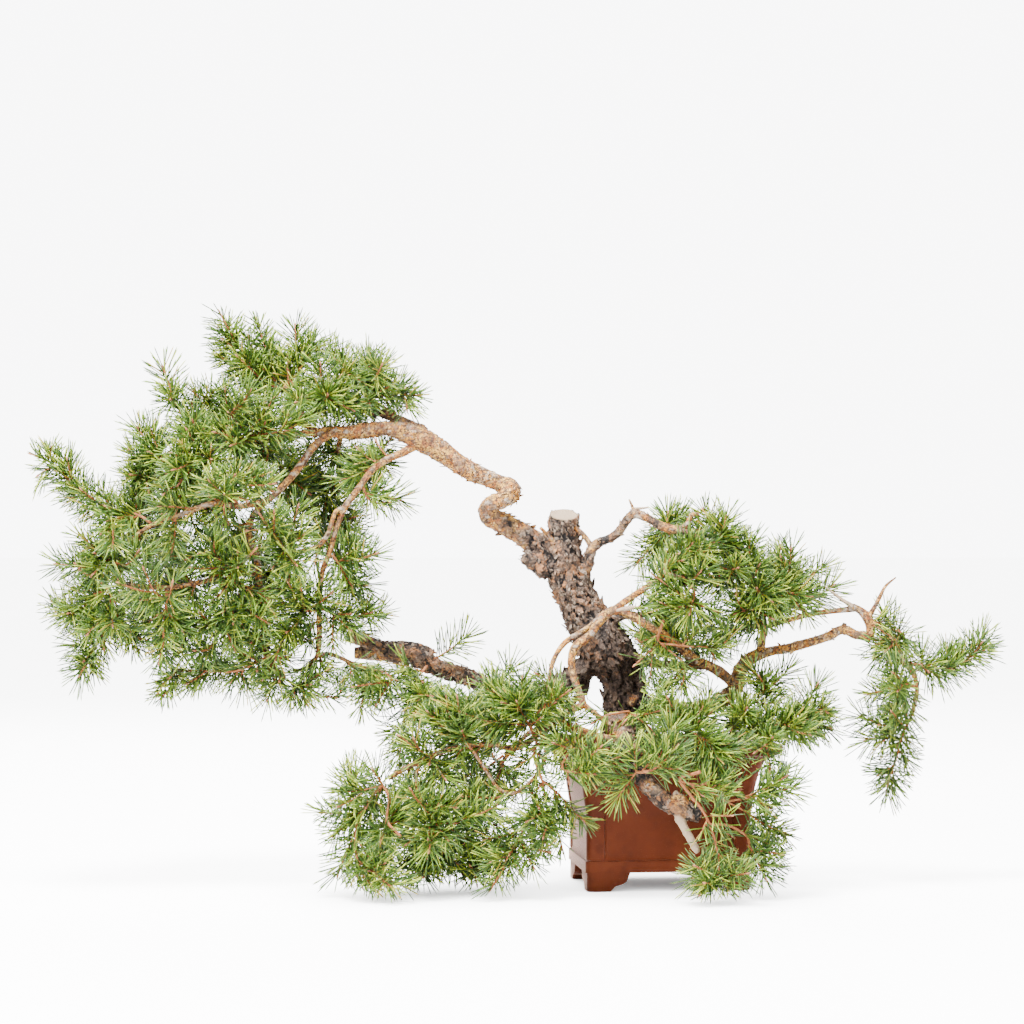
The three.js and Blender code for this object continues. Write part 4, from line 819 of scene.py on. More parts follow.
# %% Drain screens
plastic = Finish("dark plastic mesh", (0.018, 0.018, 0.017), 0.5)
plastic.patches((0.06, 0.045, 0.032), 120, 0.5, 0.7, 0.5)
plastic.relief(0.0001, 1200, 5000, 0.4)
screen_material = plastic.done()
for side in ("left", "right"):
    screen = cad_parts[f"drain_screen_{side}"]
    screen.data.materials.clear()
    screen.data.materials.append(screen_material)
print("drain screens finished")

# %% [markdown]
# ## The wood
# A pine's trunk is a column of dark plates with deep cracks, its boughs shed their bark in thin
# flakes over orange-tan skin, and its twigs are only rough. All of it grew as one, so joints must
# be seamless. The thick limbs are tubes that a voxel remesh melts into one skin, which is then
# pushed in and out by the noise. The thin branches are plain dense tubes: a remesh fine enough
# for them would need millions of faces. The routes are the ones that the CAD model follows.

# %% Routes of the limbs: (across, back, up, radius) in millimetres, as sighted from the front
LIMBS = {
    "trunk": [
        (146, 20, 122, 25), (146, 20, 165, 30), (145, 20, 200, 27), (144, 20, 240, 23),
        (143, 20, 272, 25), (134, 20, 297, 34), (118, 20, 322, 35), (104, 20, 345, 31),
        (93, 20, 367, 28), (84, 20, 387, 27), (74, 20, 410, 27), (69, 20, 434, 25), (69, 20, 458, 22),
        (69, 17, 477, 22), (69.5, 11, 492, 20),
    ],
    "buttress": [
        (170, 16, 128, 11), (169, 14, 190, 12), (168, 12, 230, 10), (171, 12, 262, 10),
        (160, 15, 300, 12),
    ],
    "hanging_root": [(112, 18, 312, 17), (101, 16, 286, 12), (97, 14, 264, 7), (99, 12, 250, 2.5)],
    "bough": [
        (70, 20, 425, 22), (42, 17, 446, 17), (20, 13, 461, 15), (-2, 8, 474, 14.5), (-18, 3, 483, 14),
        (-29, -2, 489, 13), (-32, -10, 498, 13), (-25, -14, 506, 11.8), (-12, -13, 512, 11.5),
        (-2, -8, 519, 12.5), (-3, 0, 527, 12.5), (-14, 3, 532, 11.5), (-60, 2, 552, 12.5),
        (-98, -2, 578, 14.5), (-122, -6, 592, 16), (-140, -9, 600, 13.5), (-160, -12, 606, 9.5),
        (-190, -16, 604, 10.5), (-216, -18, 601, 9.8), (-246, -20, 602, 6.5), (-280, -20, 600, 5.2),
    ],
    "bough_lump": [(50, 10, 415, 13), (34, 5, 425, 12.5), (16, 0, 438, 10)],
    "trunk_shoulder": [(62, 14, 428, 17), (66, 12, 408, 17), (74, 12, 388, 15), (86, 14, 366, 12)],
    "bough_twig": [(60, 8, 452, 4), (48, 2, 464, 2.6), (38, -4, 474, 2.2)],
    "old_wood": [
        (-118, 4, 604, 7), (-145, 8, 616, 6), (-170, 10, 625, 6), (-192, 8, 630, 4.5),
        (-206, 6, 630, 2.5),
    ],
    "branch_left": [
        (-238, -24, 602, 5.5), (-262, -32, 585, 5.2), (-280, -40, 560, 5), (-300, -52, 535, 4.8),
        (-325, -62, 512, 4.4), (-360, -75, 503, 4), (-400, -90, 506, 3.8), (-430, -94, 496, 3.8),
        (-455, -92, 486, 3.6), (-478, -88, 478, 3.4), (-503, -80, 462, 3), (-525, -74, 446, 2.6),
    ],
    "branch_down": [
        (-322, -61, 514, 4), (-346, -50, 489, 4.4), (-352, -42, 468, 4.6), (-342, -40, 440, 4.8),
        (-338, -44, 410, 4.4), (-335, -50, 375, 4), (-332, -55, 340, 3.6), (-325, -60, 305, 3.3),
        (-316, -60, 288, 3), (-303, -56, 273, 2.7),
    ],
    "branch_low_left": [
        (-338, -45, 412, 3.6), (-370, -60, 416, 3.4), (-410, -80, 403, 3.3), (-460, -90, 394, 3.2),
        (-500, -85, 396, 3.4), (-528, -80, 401, 3.6),
    ],
    "branch_upper_left": [
        (-276, -20, 600, 5), (-305, -22, 596, 4.8), (-340, -25, 588, 4.4), (-375, -30, 581, 4),
        (-405, -35, 576, 3.6), (-430, -40, 562, 3),
    ],
    "branch_crown": [(-262, -19, 602, 4.4), (-286, -10, 622, 3.4), (-299, 0, 646, 2.8)],
    "branch_ridge": [(-296, -18, 598, 4), (-290, 0, 613, 3), (-270, 8, 624, 2.6)],
    "branch_back": [(-228, -12, 600, 4), (-231, 25, 575, 3), (-229, 45, 550, 2.7), (-235, 60, 535, 2.4)],
    "branch_back_left": [
        (-300, -16, 597, 4), (-320, 30, 580, 3.4), (-345, 65, 560, 3), (-375, 90, 540, 2.4),
    ],
    "branch_back_down": [
        (-345, 65, 560, 3), (-340, 85, 530, 2.8), (-335, 98, 495, 2.6), (-333, 100, 470, 2.4),
    ],
    "branch_rear_low": [
        (-425, -83, 401, 3), (-440, -45, 405, 2.8), (-452, 5, 398, 2.6), (-462, 38, 382, 2.3),
    ],
    "branch_rear_high": [
        (-420, -38, 569, 3), (-445, 0, 548, 2.8), (-460, 35, 525, 2.6), (-470, 52, 505, 2.3),
    ],
    "tan_strand": [
        (-130, -8, 583, 7), (-148, -22, 573, 5), (-170, -38, 563, 4.6), (-188, -50, 549, 4.4),
        (-200, -55, 533, 4.2), (-213, -58, 515, 4.2), (-223, -60, 501, 4.2), (-233, -60, 478, 3.6),
        (-242, -58, 445, 3.6), (-252, -55, 418, 3.8), (-257, -50, 385, 4), (-257, -50, 350, 4),
        (-257, -50, 325, 3.6), (-260, -50, 303, 3.2), (-272, -48, 289, 2.8), (-291, -40, 282, 2.4),
    ],
    "tan_fork": [
        (-223, -60, 501, 3.6), (-234, -66, 496, 3.2), (-241, -66, 478, 3), (-248, -64, 461, 3),
        (-261, -62, 448, 3), (-280, -60, 443, 2.8), (-298, -60, 441, 2.5),
    ],
    "tan_tail": [
        (-259, -50, 304, 3), (-245, -52, 306, 2.8), (-232, -54, 302, 2.8), (-215, -55, 294, 2.6),
        (-195, -58, 287, 2.5), (-172, -60, 281, 2.3),
    ],
    "low_bough": [
        (108, 14, 298, 17), (84, 12, 276, 15), (52, 15, 257, 13.5), (12, 20, 251, 12.5),
        (-25, 22, 259, 12), (-60, 22, 275, 12), (-98, 20, 287, 12.5), (-130, 18, 302, 13),
        (-160, 15, 310, 10.5), (-192, 12, 321, 9), (-221, 9, 331, 8.5),
    ],
    "low_bough_prong": [(-146, 17, 301, 10), (-180, 20, 306, 9), (-210, 22, 307, 8)],
    "low_bough_bark": [(-106, 24, 304, 8), (-130, 25, 317, 5), (-155, 25, 320, 4), (-174, 25, 321, 2.5)],
    "upper_right": [
        (88, 16, 402, 12), (101, 8, 426, 8.5), (107, 5, 446, 7), (118, 2, 455, 6.5), (131, 0, 460, 6.3),
        (143, -2, 469, 6), (151, -4, 481, 6.2), (162, -5, 493, 6.5), (178, -8, 488, 5.6),
        (196, -10, 478, 5.8), (212, -12, 472, 6.2), (226, -14, 470, 5), (242, -16, 463, 4.2),
        (258, -18, 457, 3.2),
    ],
    "upper_right_twig": [(163, -5, 494, 3), (160, -6, 503, 2), (156, -7, 512, 1.1)],
    "upper_right_snag": [(163, -5, 499, 2.4), (182, -4, 501, 1.1)],
    "upper_right_spur": [(107, 5, 447, 4.6), (100, 3, 458, 3.6), (91, 2, 469, 3), (84, 4, 474, 2.6)],
    "upper_right_knob": [
        (224, -14, 471, 4.4), (234, -15, 479, 3.8), (240, -16, 491, 3.4), (249, -16, 492, 2.4),
    ],
    "tan_arch": [
        (300, 24, 262, 7), (275, 0, 283, 7), (240, -20, 301, 6.4), (215, -30, 322, 6),
        (176, -38, 347, 5.8), (132, -45, 363, 5.8), (118, -54, 350, 5.6), (101, -62, 328, 5.4),
        (83, -68, 313, 5.8), (79, -70, 296, 5.4), (83, -72, 272, 5), (91, -75, 250, 5),
        (95, -78, 238, 5),
    ],
    "tan_arch_twin": [
        (124, -44, 361, 4), (105, -47, 343, 3.8), (86, -52, 331, 3.8), (70, -58, 320, 3.8),
        (58, -61, 303, 3.2), (52, -63, 286, 3), (50, -65, 270, 2.6),
    ],
    "cascade": [
        (95, -78, 238, 5), (78, -86, 230, 4.8), (60, -93, 219, 4.6), (42, -98, 206, 4.4),
        (24, -103, 190, 4.4), (2, -108, 180, 4.4), (-20, -112, 184, 3.6), (-52, -116, 184, 3.6),
        (-84, -120, 178, 3.6), (-105, -122, 171, 3.6), (-124, -124, 162, 3.6), (-150, -128, 149, 3.2),
        (-165, -131, 140, 2.8),
    ],
    "cascade_prong": [
        (95, -78, 238, 4.4), (109, -84, 228, 3.6), (125, -92, 215, 3.4), (138, -98, 208, 2.8),
    ],
    "cascade_middle": [
        (-122, -124, 163, 3), (-128, -128, 142, 2.6), (-124, -132, 122, 2.5), (-115, -138, 101, 2.3),
    ],
    "cascade_rear": [
        (-105, -122, 171, 3), (-106, -100, 140, 2.6), (-108, -92, 100, 2.5), (-108, -90, 68, 2.2),
    ],
    "cascade_inner": [
        (2, -108, 180, 3.4), (-11, -102, 164, 2.8), (-23, -90, 130, 2.6), (-38, -80, 95, 2.4),
        (-50, -75, 70, 2.2),
    ],
    "cascade_sweep": [
        (42, -98, 206, 3), (46, -114, 180, 2.8), (38, -122, 152, 2.7), (20, -126, 131, 2.6),
        (0, -128, 119, 2.5), (-20, -128, 128, 2.4), (-31, -128, 145, 2.3), (-52, -128, 176, 2.2),
    ],
    "low_rear": [(100, 20, 268, 5), (70, 46, 228, 3.6), (26, 68, 202, 3.2), (-10, 84, 172, 2.4)],
    "front_tan": [
        (60, -93, 219, 4.4), (76, -104, 209, 4), (93, -114, 204, 4), (110, -124, 198, 4),
        (128, -136, 194, 4), (148, -148, 186, 4),
    ],
    "front_bough": [
        (138, 10, 215, 17), (141, -35, 209, 15), (145, -80, 206, 14), (149, -118, 202, 13.5),
        (152, -142, 194, 13), (157, -154, 176, 12), (167, -158, 150, 12), (185, -160, 126, 12.5),
        (206, -163, 108, 13), (230, -163, 98, 12.5), (252, -162, 91, 11.5),
    ],
    "front_snag": [
        (222, -166, 88, 6.5), (233, -170, 68, 5.6), (243, -173, 50, 5.2), (248, -174, 41, 3.6),
    ],
    "front_stub": [(238, -164, 102, 6), (226, -171, 114, 5), (216, -173, 122, 4.2)],
    "front_shoot": [
        (153, -146, 190, 4), (175, -168, 173, 3), (200, -176, 158, 2.8), (212, -178, 146, 2.4),
    ],
    "right_limb": [
        (155, 12, 244, 14), (190, 20, 236, 11), (230, 28, 231, 10.5), (262, 32, 236, 10),
        (285, 32, 247, 10), (300, 32, 263, 10), (304, 32, 284, 9.5), (318, 30, 300, 8.6),
        (340, 28, 308, 7), (370, 25, 314, 6.4), (400, 20, 322, 6.2), (421, 18, 329, 6),
        (441, 15, 338, 6.6), (460, 12, 331, 6), (477, 10, 328, 6),
    ],
    "right_limb_nub": [(441, 15, 338, 5), (444, 15, 347, 2.6)],
    "right_shade": [
        (146, 12, 300, 10), (176, 5, 296, 7), (205, 0, 291, 6), (240, -8, 290, 5.6), (262, -8, 290, 5),
    ],
    "right_dead": [
        (118, 10, 352, 8), (156, 4, 357, 5), (195, 6, 358, 4.4), (225, 8, 353, 4), (241, 8, 343, 2.5),
    ],
    "right_chip": [(138, -45, 364, 4), (165, -42, 368, 2.6)],
    "rim_branch": [(228, 28, 231, 5), (225, -10, 216, 3.6), (226, -60, 208, 3.2), (230, -100, 204, 2.8)],
    "far_knuckle": [
        (477, 10, 328, 6), (478, 10, 341, 6.6), (474, 8, 353, 6.6), (465, 8, 363, 5.4),
        (454, 6, 369, 4.4),
    ],
    "far_dead_twig": [(454, 6, 369, 3.6), (439, 2, 379, 2.4), (427, 1, 388, 1.8), (416, 0, 397, 1.1)],
    "far_return": [
        (458, 7, 366, 4), (430, 8, 363, 3.6), (400, 12, 359, 3.5), (370, 16, 351, 3.4),
        (338, 20, 342, 3.2),
    ],
    "far_upright": [(330, 29, 303, 6), (333, 24, 322, 5.2), (337, 20, 342, 4), (336, 16, 357, 2.8)],
    "far_forked_twig": [
        (474, 8, 353, 4.4), (482, 6, 366, 3.2), (490, 4, 381, 2.6), (498, 2, 396, 2.2), (512, 0, 408, 1),
    ],
    "far_hanging": [
        (476, 9, 348, 5), (491, 4, 341, 4), (502, 0, 331, 4), (511, -4, 320, 4), (518, -7, 305, 4),
        (524, -8, 293, 4), (533, -10, 284, 4.4), (538, -10, 272, 3.2), (540, -10, 258, 3),
        (537, -8, 240, 2.8), (533, -6, 223, 2.4),
    ],
    "far_hanging_spur": [(533, -10, 283, 3.4), (548, -9, 286, 1.6)],
    "far_loop": [(477, 10, 328, 4.4), (490, 5, 325, 3), (500, 8, 330, 2.8), (508, 6, 339, 2.4)],
    "right_arch": [
        (134, -45, 364, 4.6), (160, -40, 382, 4.4), (180, -36, 395, 4.2), (200, -32, 410, 4),
        (210, -28, 427, 3.8), (222, -25, 437, 3.6), (242, -22, 438, 3.4), (262, -20, 430, 3.2),
        (285, -15, 418, 2.8), (305, -12, 408, 2.4),
    ],
    "right_arch_low": [
        (203, -32, 412, 3), (222, -34, 409, 2.7), (237, -36, 401, 2.5), (243, -38, 389, 2.2),
    ],
}
THICK = [
    "trunk", "trunk_shoulder", "buttress", "hanging_root", "bough", "bough_lump", "old_wood",
    "low_bough", "low_bough_prong", "low_bough_bark", "front_bough", "front_snag", "front_stub",
    "right_limb", "right_shade", "right_dead", "upper_right",
]
THIN = [name for name in LIMBS if name not in THICK]
LEAST_RADIUS = 0.0006


def limb_route(name, step):
    """Points and radii of a limb in metres, along a smooth curve."""
    rows = np.array(LIMBS[name], float)
    radii = rows[:, 3:] / 1000 * (1 + rows[:, 1:2] / 1000 / SIGHT_DISTANCE)
    route = smooth_line(np.concatenate([true_place(rows), radii], axis=1), step)
    return route[:, :3], np.maximum(route[:, 3], LEAST_RADIUS)


print(len(LIMBS), "limbs,", len(THICK), "of them thick")

# %% The thick limbs melted into one skin
THICK_STEP = 0.003
THICK_SIDES = 20
VOXEL = 0.0019


def melted(parts, voxel):
    """Points, normals and faces of overlapping closed skins after a voxel remesh and a smoothing."""
    blank = new_piece("wood_blank", *joined(parts), [])
    remesh = blank.modifiers.new("melt", "REMESH")
    remesh.mode = "VOXEL"
    remesh.voxel_size = voxel
    smoothing = blank.modifiers.new("smooth", "SMOOTH")
    smoothing.factor = 0.5
    smoothing.iterations = 3
    mesh = bpy.data.meshes.new_from_object(blank.evaluated_get(bpy.context.evaluated_depsgraph_get()))
    points = np.empty(len(mesh.vertices) * 3)
    mesh.vertices.foreach_get("co", points)
    normals = np.empty(len(mesh.vertices) * 3)
    mesh.vertices.foreach_get("normal", normals)
    corners = np.empty(len(mesh.loops), np.int64)
    mesh.loops.foreach_get("vertex_index", corners)
    bpy.data.objects.remove(blank)
    bpy.data.meshes.remove(mesh)
    return points.reshape(-1, 3), normals.reshape(-1, 3), corners.reshape(-1, 4)


thick_routes = {name: limb_route(name, THICK_STEP) for name in THICK}
thick_parts = [tube(line, radii, THICK_SIDES) for line, radii in thick_routes.values()]
wood_points, wood_normals, wood_faces = melted(thick_parts, VOXEL)
print("thick wood:", len(wood_points), "points")

# %% [markdown]
# ## What kind of bark a place has
# The melted skin no longer knows its limbs. So each limb's radius, age and direction are written
# down along its route, and every point of the skin takes a mixture of what lies beneath it, most
# from the nearest. Age says how dark and cracked the bark is: 1 on the old trunk, 0 on the young
# tan bough. Low on the trunk and under its fork the bark is damp and nearly black, and that
# darkening also paints the shade that falls there. A dead branch has lost its bark, and its wood
# is pale.

# %% Radius, age, damp bark with painted shade, and direction along the routes
AGE_ALONG = {
    "trunk": (1.0, 0.86), "trunk_shoulder": (0.8, 0.95), "buttress": (1.0, 1.0),
    "hanging_root": (1.0, 1.0), "bough": (0.62, 0.0), "bough_lump": (0.95, 0.8),
    "old_wood": (0.55, 0.65), "low_bough": (1.0, 0.7), "low_bough_prong": (0.45, 0.4),
    "low_bough_bark": (0.8, 0.8), "front_bough": (0.62, 0.62), "front_snag": (0.15, 0.1),
    "front_stub": (0.4, 0.3), "right_limb": (0.42, 0.0), "right_shade": (0.85, 0.6),
    "right_dead": (0.95, 0.9), "upper_right": (0.75, 0.3),
}
BOUGH_AGE_AT_THIRD = 0.15
# Low on these limbs the bark is darkened: it is damp there, and the darkening also paints the shade that
# falls there.
DAMP_AND_SHADED_LIMBS = {"trunk", "buttress", "hanging_root", "low_bough"}
DAMP_AND_SHADE_UP = (0.30, 0.355)
DAMP_AND_SHADE_ACROSS = (-0.02, 0.05)
BARE_LIMBS = {"front_snag"}


def age_along(name, count):
    """The age at each point of a limb, from its foot past the third of its length to its end."""
    foot_age, end_age = AGE_ALONG[name]
    third_age = BOUGH_AGE_AT_THIRD if name == "bough" else (foot_age + end_age) / 2
    return np.interp(np.linspace(0, 1, count), [0, 0.35, 1], [foot_age, third_age, end_age])


def damp_and_shade_share(name, line):
    """1 low on a damp limb, for damp bark and painted shade, and 0 higher up, off to the left and on
    other limbs.
    """
    if name not in DAMP_AND_SHADED_LIMBS:
        return np.zeros(len(line))
    return (1 - ramp(line[:, 2], *DAMP_AND_SHADE_UP)) * ramp(line[:, 0], *DAMP_AND_SHADE_ACROSS)


line_points = np.concatenate([line for line, _ in thick_routes.values()])
line_radii = np.concatenate([radii for _, radii in thick_routes.values()])
line_values = np.column_stack([line_radii, np.concatenate([
    np.column_stack([
        age_along(name, len(line)), damp_and_shade_share(name, line),
        np.full(len(line), float(name in BARE_LIMBS)), directions(line)[0],
    ])
    for name, (line, _) in thick_routes.items()
])])


# %% Which limb a point is on
NEAREST_ONLY = 14
AGE_PATCHES = 0.45
AGE_PATCH_SIZE = 0.016


def nearest_route(points, block=6000):
    """Route values at each point, as shares of all route points: the closer beneath, the more.

    The weight of a route point is exp(-14 x), where x is how much further it is, in radii of its
    limb, than the nearest one. The points are taken in blocks to save memory."""
    found = np.empty((len(points), line_values.shape[1]))
    for start in range(0, len(points), block):
        part = points[start:start + block]
        distance = np.linalg.norm(part[:, None] - line_points[None], axis=2) / line_radii[None]
        weight = np.exp(-NEAREST_ONLY * (distance - distance.min(axis=1, keepdims=True)))
        found[start:start + block] = (weight @ line_values) / weight.sum(axis=1, keepdims=True)
    return found


wood_near = nearest_route(wood_points)
wood_radius, wood_age, wood_damp_and_shade, wood_bare = wood_near[:, :4].T
# Where young bark turns old, it does so in patches.
turning = ramp(wood_age, 0.05, 0.35) * (1 - ramp(wood_age, 0.8, 1.0))
patches_of_age = AGE_PATCHES * turning * cloudy(wood_points / AGE_PATCH_SIZE, 45)
wood_age = np.clip(wood_age + patches_of_age, 0, 1)
print("radius from", round(wood_radius.min() * 1000, 1), "to", round(wood_radius.max() * 1000, 1), "mm")

# %% Cut faces
# Where a limb was sawn off, the end is flat and pale. Each is known by its middle and direction.
CUT_ENDS = ["trunk", "low_bough", "low_bough_prong", "front_stub"]
CUT_DEPTH = 0.0016
CUT_SHARE = 0.93


def cut_share(points):
    """1 on the flat end of a sawn limb, 0 elsewhere, and the distance from that end's middle."""
    share = np.zeros(len(points))
    from_middle = np.ones(len(points))
    for name in CUT_ENDS:
        line, radii = thick_routes[name]
        ahead = unit(line[-1] - line[-3])
        offset = points - line[-1]
        along = offset @ ahead
        aside = np.linalg.norm(offset - along[:, None] * ahead, axis=1)
        on_end = (np.abs(along) < CUT_DEPTH) & (aside < radii[-1] * CUT_SHARE)
        share[on_end] = 1
        from_middle[on_end] = aside[on_end]
    return share, from_middle


wood_cut, cut_radius = cut_share(wood_points)
print(int(wood_cut.sum()), "points on sawn faces")

# %% [markdown]
# ## Bark as real relief
# Old bark is plates of several sizes, each tilted like a roof tile, with cracks between them.
# Young bark only sheds thin scales. A bump map would leave the outline of the trunk smooth, so the
# skin itself is pushed in and out along its normals. Noise bends the cracks, so that none runs
# straight, and the plates are longer along the trunk than across it.

# %% Bark
TRUNK_LEAN = 0.3
CRACK_BEND = 0.007
BIG_PLATE = (0.0095, 0.0095, 0.023)
SMALL_PLATE = (0.0042, 0.0042, 0.0100)
YOUNG_SCALE = (0.011, 0.008, 0.008)
PLATE_PUSH = 0.0080
MIDDLE_HEIGHT = 0.64


def plate_height(points, warp):
    """Height of old bark from 0 to 1, and a random number for each plate.

    It is the depth of the cracks, a level and a tilt for each plate of 23 mm, a smaller tilt for
    each of 10 mm, and fine noise."""
    leaning = points + TRUNK_LEAN * points[:, 2:] * np.array([1, 0, 0])
    big_gap, big_plate, big_tilt = cracked((leaning + warp) / np.array(BIG_PLATE), 31)
    small_gap, small_plate, small_tilt = cracked((leaning + warp * 0.6) / np.array(SMALL_PLATE), 32)
    crack = np.minimum(ramp(big_gap, 0.0, 0.16), 0.35 + 0.65 * ramp(small_gap, 0.0, 0.2))
    fine = rough(points / 0.004, 2, 41)
    height = 0.55 * crack + 0.25 * big_plate + 0.30 * big_tilt + 0.16 * small_tilt + 0.10 * fine
    return height, 0.5 * big_plate + 0.5 * small_plate


def bark_relief(points, age, radius):
    """Push along the surface in metres, and the numbers for the colours, for points on bark.

    Old bark is pushed by its plates' height, 8 mm from the lowest to the highest. On young bark
    scales of 8 to 11 mm stand 1 mm proud of low swellings. Both are less on thin wood, and the
    age mixes the two."""
    warp = np.stack([rough(points / 0.014, 3, salt) for salt in (21, 22, 23)], axis=1) * CRACK_BEND
    height, plate = plate_height(points, warp)
    scale_gap, scale_plate, scale_tilt = cracked((points + warp) / np.array(YOUNG_SCALE), 33)
    there = ramp(scale_plate + 0.25 * cloudy(points / 0.03, 44), 0.55, 0.6)
    scales = ramp(scale_gap, 0.0, 0.08) * there
    swellings = 0.0006 * rough(points / 0.010, 3, 42)
    young_height = scales * (0.0010 + 0.0012 * scale_tilt) + swellings
    thickness = np.clip((radius - 0.002) / 0.015, 0.2, 1)
    old = ramp(age, 0.35, 0.8)
    push = old * (height - MIDDLE_HEIGHT) * PLATE_PUSH * thickness
    push += (1 - old) * young_height * (0.4 + 0.6 * thickness)
    edge = (1 - ramp(scale_gap, 0.02, 0.11)) * np.where(scale_plate > 0.5, 1.0, 0.45)
    return push, {
        "age": age, "relief": np.clip(height, 0, 1), "plate": plate, "scale": scales * (1 - old),
        "scale_kind": scale_plate, "edge": edge * (1 - old),
    }


bark_push, bark_values = bark_relief(wood_points, wood_age, wood_radius)
bark_points = wood_points + wood_normals * (bark_push * (1 - wood_cut))[:, None]
low_push, high_push = np.round(np.array([bark_push.min(), bark_push.max()]) * 1000, 1)
print("bark pushed from", low_push, "to", high_push, "mm")

# %% [markdown]
# ## Thin branches
# A thin branch is a round tube with a ring every 2.5 mm. Its radius swells and shrinks a little,
# with now and then a knot, and then it gets the same bark as the rest, at a young age.

# %% Thin branches
THIN_STEP = 0.0025
THIN_SIDES = 11
DEAD = {"far_dead_twig", "upper_right_snag", "right_chip", "far_hanging_spur"}
thin_parts, thin_radii, thin_dead = [], [], []
for name in THIN:
    line, radii = limb_route(name, THIN_STEP)
    knots = np.maximum(rough(line / 0.02, 1, 52), 0) ** 2
    bumps = 1 + 0.07 * rough(line / 0.011, 2, 51) + 0.16 * knots
    skin = tube(line, radii * bumps, THIN_SIDES)
    thin_parts.append(skin)
    thin_radii.append(np.full(len(skin[0]), radii.mean()))
    thin_dead.append(np.full(len(skin[0]), float(name in DEAD)))
thin_points, thin_faces = joined(thin_parts)
thin_dead = np.concatenate(thin_dead)
thin_age = 0.12 + 0.12 * rough(thin_points / 0.05, 1, 53)
_, thin_values = bark_relief(thin_points, thin_age, np.concatenate(thin_radii))
print("thin branches:", len(thin_points), "points")

# %% [markdown]
# ## Loose flakes of bark
# Where bark peels, thin chips stand off by one end. They make the outline of the wood ragged.
# Each is a bent plate of a few faces, and all of them are one mesh.

# %% Where flakes hang
FLAKES = 1500
FLAKE_LENGTH = (0.005, 0.0115)
FLAKE_THICKNESS = 0.0006
FLAKE_POINTS = 24
FLAKE_LOWEST = 0.19


def flake_roots(random):
    """Numbers of the skin's points that bear a flake: in patches, more on old bark, and none on
    sawn ends, bare wood or low by the soil."""
    chance = 0.3 + 0.7 * ramp(cloudy(bark_points / 0.022, 61), -0.1, 0.5)
    chance *= (wood_cut == 0) * (wood_bare < 0.5)
    chance *= (bark_points[:, 2] > FLAKE_LOWEST) * (0.5 + 0.5 * ramp(wood_age, 0.1, 0.6))
    for line, radii in (thick_routes[name] for name in CUT_ENDS):
        chance *= np.linalg.norm(bark_points - line[-1], axis=1) > radii[-1] + 0.008
    return random.choice(len(bark_points), FLAKES, replace=False, p=chance / chance.sum())


# %% The shape of a flake
def flake_plate(count):
    """Faces of plates that are a grid of 4 by 3 points above and the same below, 24 points each."""
    cell = np.array([i * 3 + j for i in range(3) for j in range(2)])[:, None]
    upper = cell + np.array([0, 3, 4, 1])
    rim = np.array([0, 3, 6, 9, 10, 11, 8, 5, 2, 1])
    following = np.roll(rim, -1)
    sides = np.stack([rim, rim + 12, following + 12, following], axis=1)
    one = np.concatenate([upper, upper[:, ::-1] + 12, sides])
    return (one[None] + (np.arange(count) * FLAKE_POINTS)[:, None, None]).reshape(-1, 4)


def flakes(root, random):
    """Bent chips on the thick wood, as one skin.

    At share u of its length a chip stands lift u^1.5 above its foot. Its width there is a curve
    that narrows to the free end, with a random share for each point."""
    count = len(root)
    up = wood_normals[root]
    axis = wood_near[root, 4:] * random.choice([-1, 1], (count, 1)) + random.normal(0, 0.45, (count, 3))
    axis = unit(axis - (axis * up).sum(axis=1, keepdims=True) * up)
    aside = np.cross(up, axis)
    length = random.uniform(*FLAKE_LENGTH, count) * (0.7 + 0.5 * ramp(wood_radius[root], 0.006, 0.02))
    u, v = np.meshgrid([0, 0.35, 0.7, 1.0], [-1, 0, 1], indexing="ij")
    width = np.interp(u, [0, 0.35, 0.7, 1], [0.8, 1.0, 0.85, 0.35])
    width = width * random.uniform(0.75, 1.2, (count, 4, 3))
    lift = (random.uniform(0.12, 0.5, count) * length)[:, None, None] * u**1.5 - 0.0007 * (1 - u)
    half = (length * random.uniform(0.22, 0.42, count))[:, None, None] * width * v
    top = (
        bark_points[root][:, None, None]
        + (u * length[:, None, None])[..., None] * axis[:, None, None]
        + half[..., None] * aside[:, None, None]
        + (lift + 0.0003 * (1 - v * v))[..., None] * up[:, None, None]
    )
    bottom = top - FLAKE_THICKNESS * up[:, None, None]
    vertices = np.concatenate([top.reshape(count, 12, 3), bottom.reshape(count, 12, 3)], axis=1)
    return vertices.reshape(-1, 3), flake_plate(count)


flake_random = np.random.default_rng(17)
flake_root = flake_roots(flake_random)
flake_skin = flakes(flake_root, flake_random)
flake_kind = np.repeat(flake_random.uniform(0, 1, FLAKES), FLAKE_POINTS)
print(FLAKES, "flakes of bark")

# %% [markdown]
# ## The bark's colours
# They are built from the young skin up: flaky orange-tan, then the grey scales that lie on it,
# then the old plates over both where the age is high, and last the damp bark darkened also by
# painted shade, the dead and the sawn wood. The numbers that the relief left at each vertex say
# where all of this goes, so colour and shape agree.

# %% Young bark
bark = Finish("pine bark", (0.64, 0.235, 0.020), 0.8)
bark.patches((0.86, 0.47, 0.090), 75, 0.40, 0.58, 0.9)
chip_kind, chip_border = bark.scales(230, 0.7)
bark.tint_above(chip_kind, [
    (0.62, 0.66, (0.80, 0.50, 0.19), 0.75),
    (0.82, 0.84, (0.24, 0.14, 0.080), 0.8),
    (0.93, 0.94, (0.070, 0.040, 0.025), 0.85),
])
bark.patches((0.38, 0.092, 0.010), 150, 0.50, 0.60, 0.8)
bark.tint(chip_border, (0.060, 0.020, 0.007), 0.85)
bark.patches((0.050, 0.024, 0.013), 330, 0.535, 0.575, 0.9)
whole_chip = bark.rest(bark.both(bark.between(chip_kind, 0.42, 0.46), 0.75))
broken = bark.both(bark.value("scale"), whole_chip)
bark.tint(broken, (0.200, 0.120, 0.072), 0.85)
grey_scale = bark.both(broken, bark.between(bark.value("scale_kind"), 0.74, 0.8))
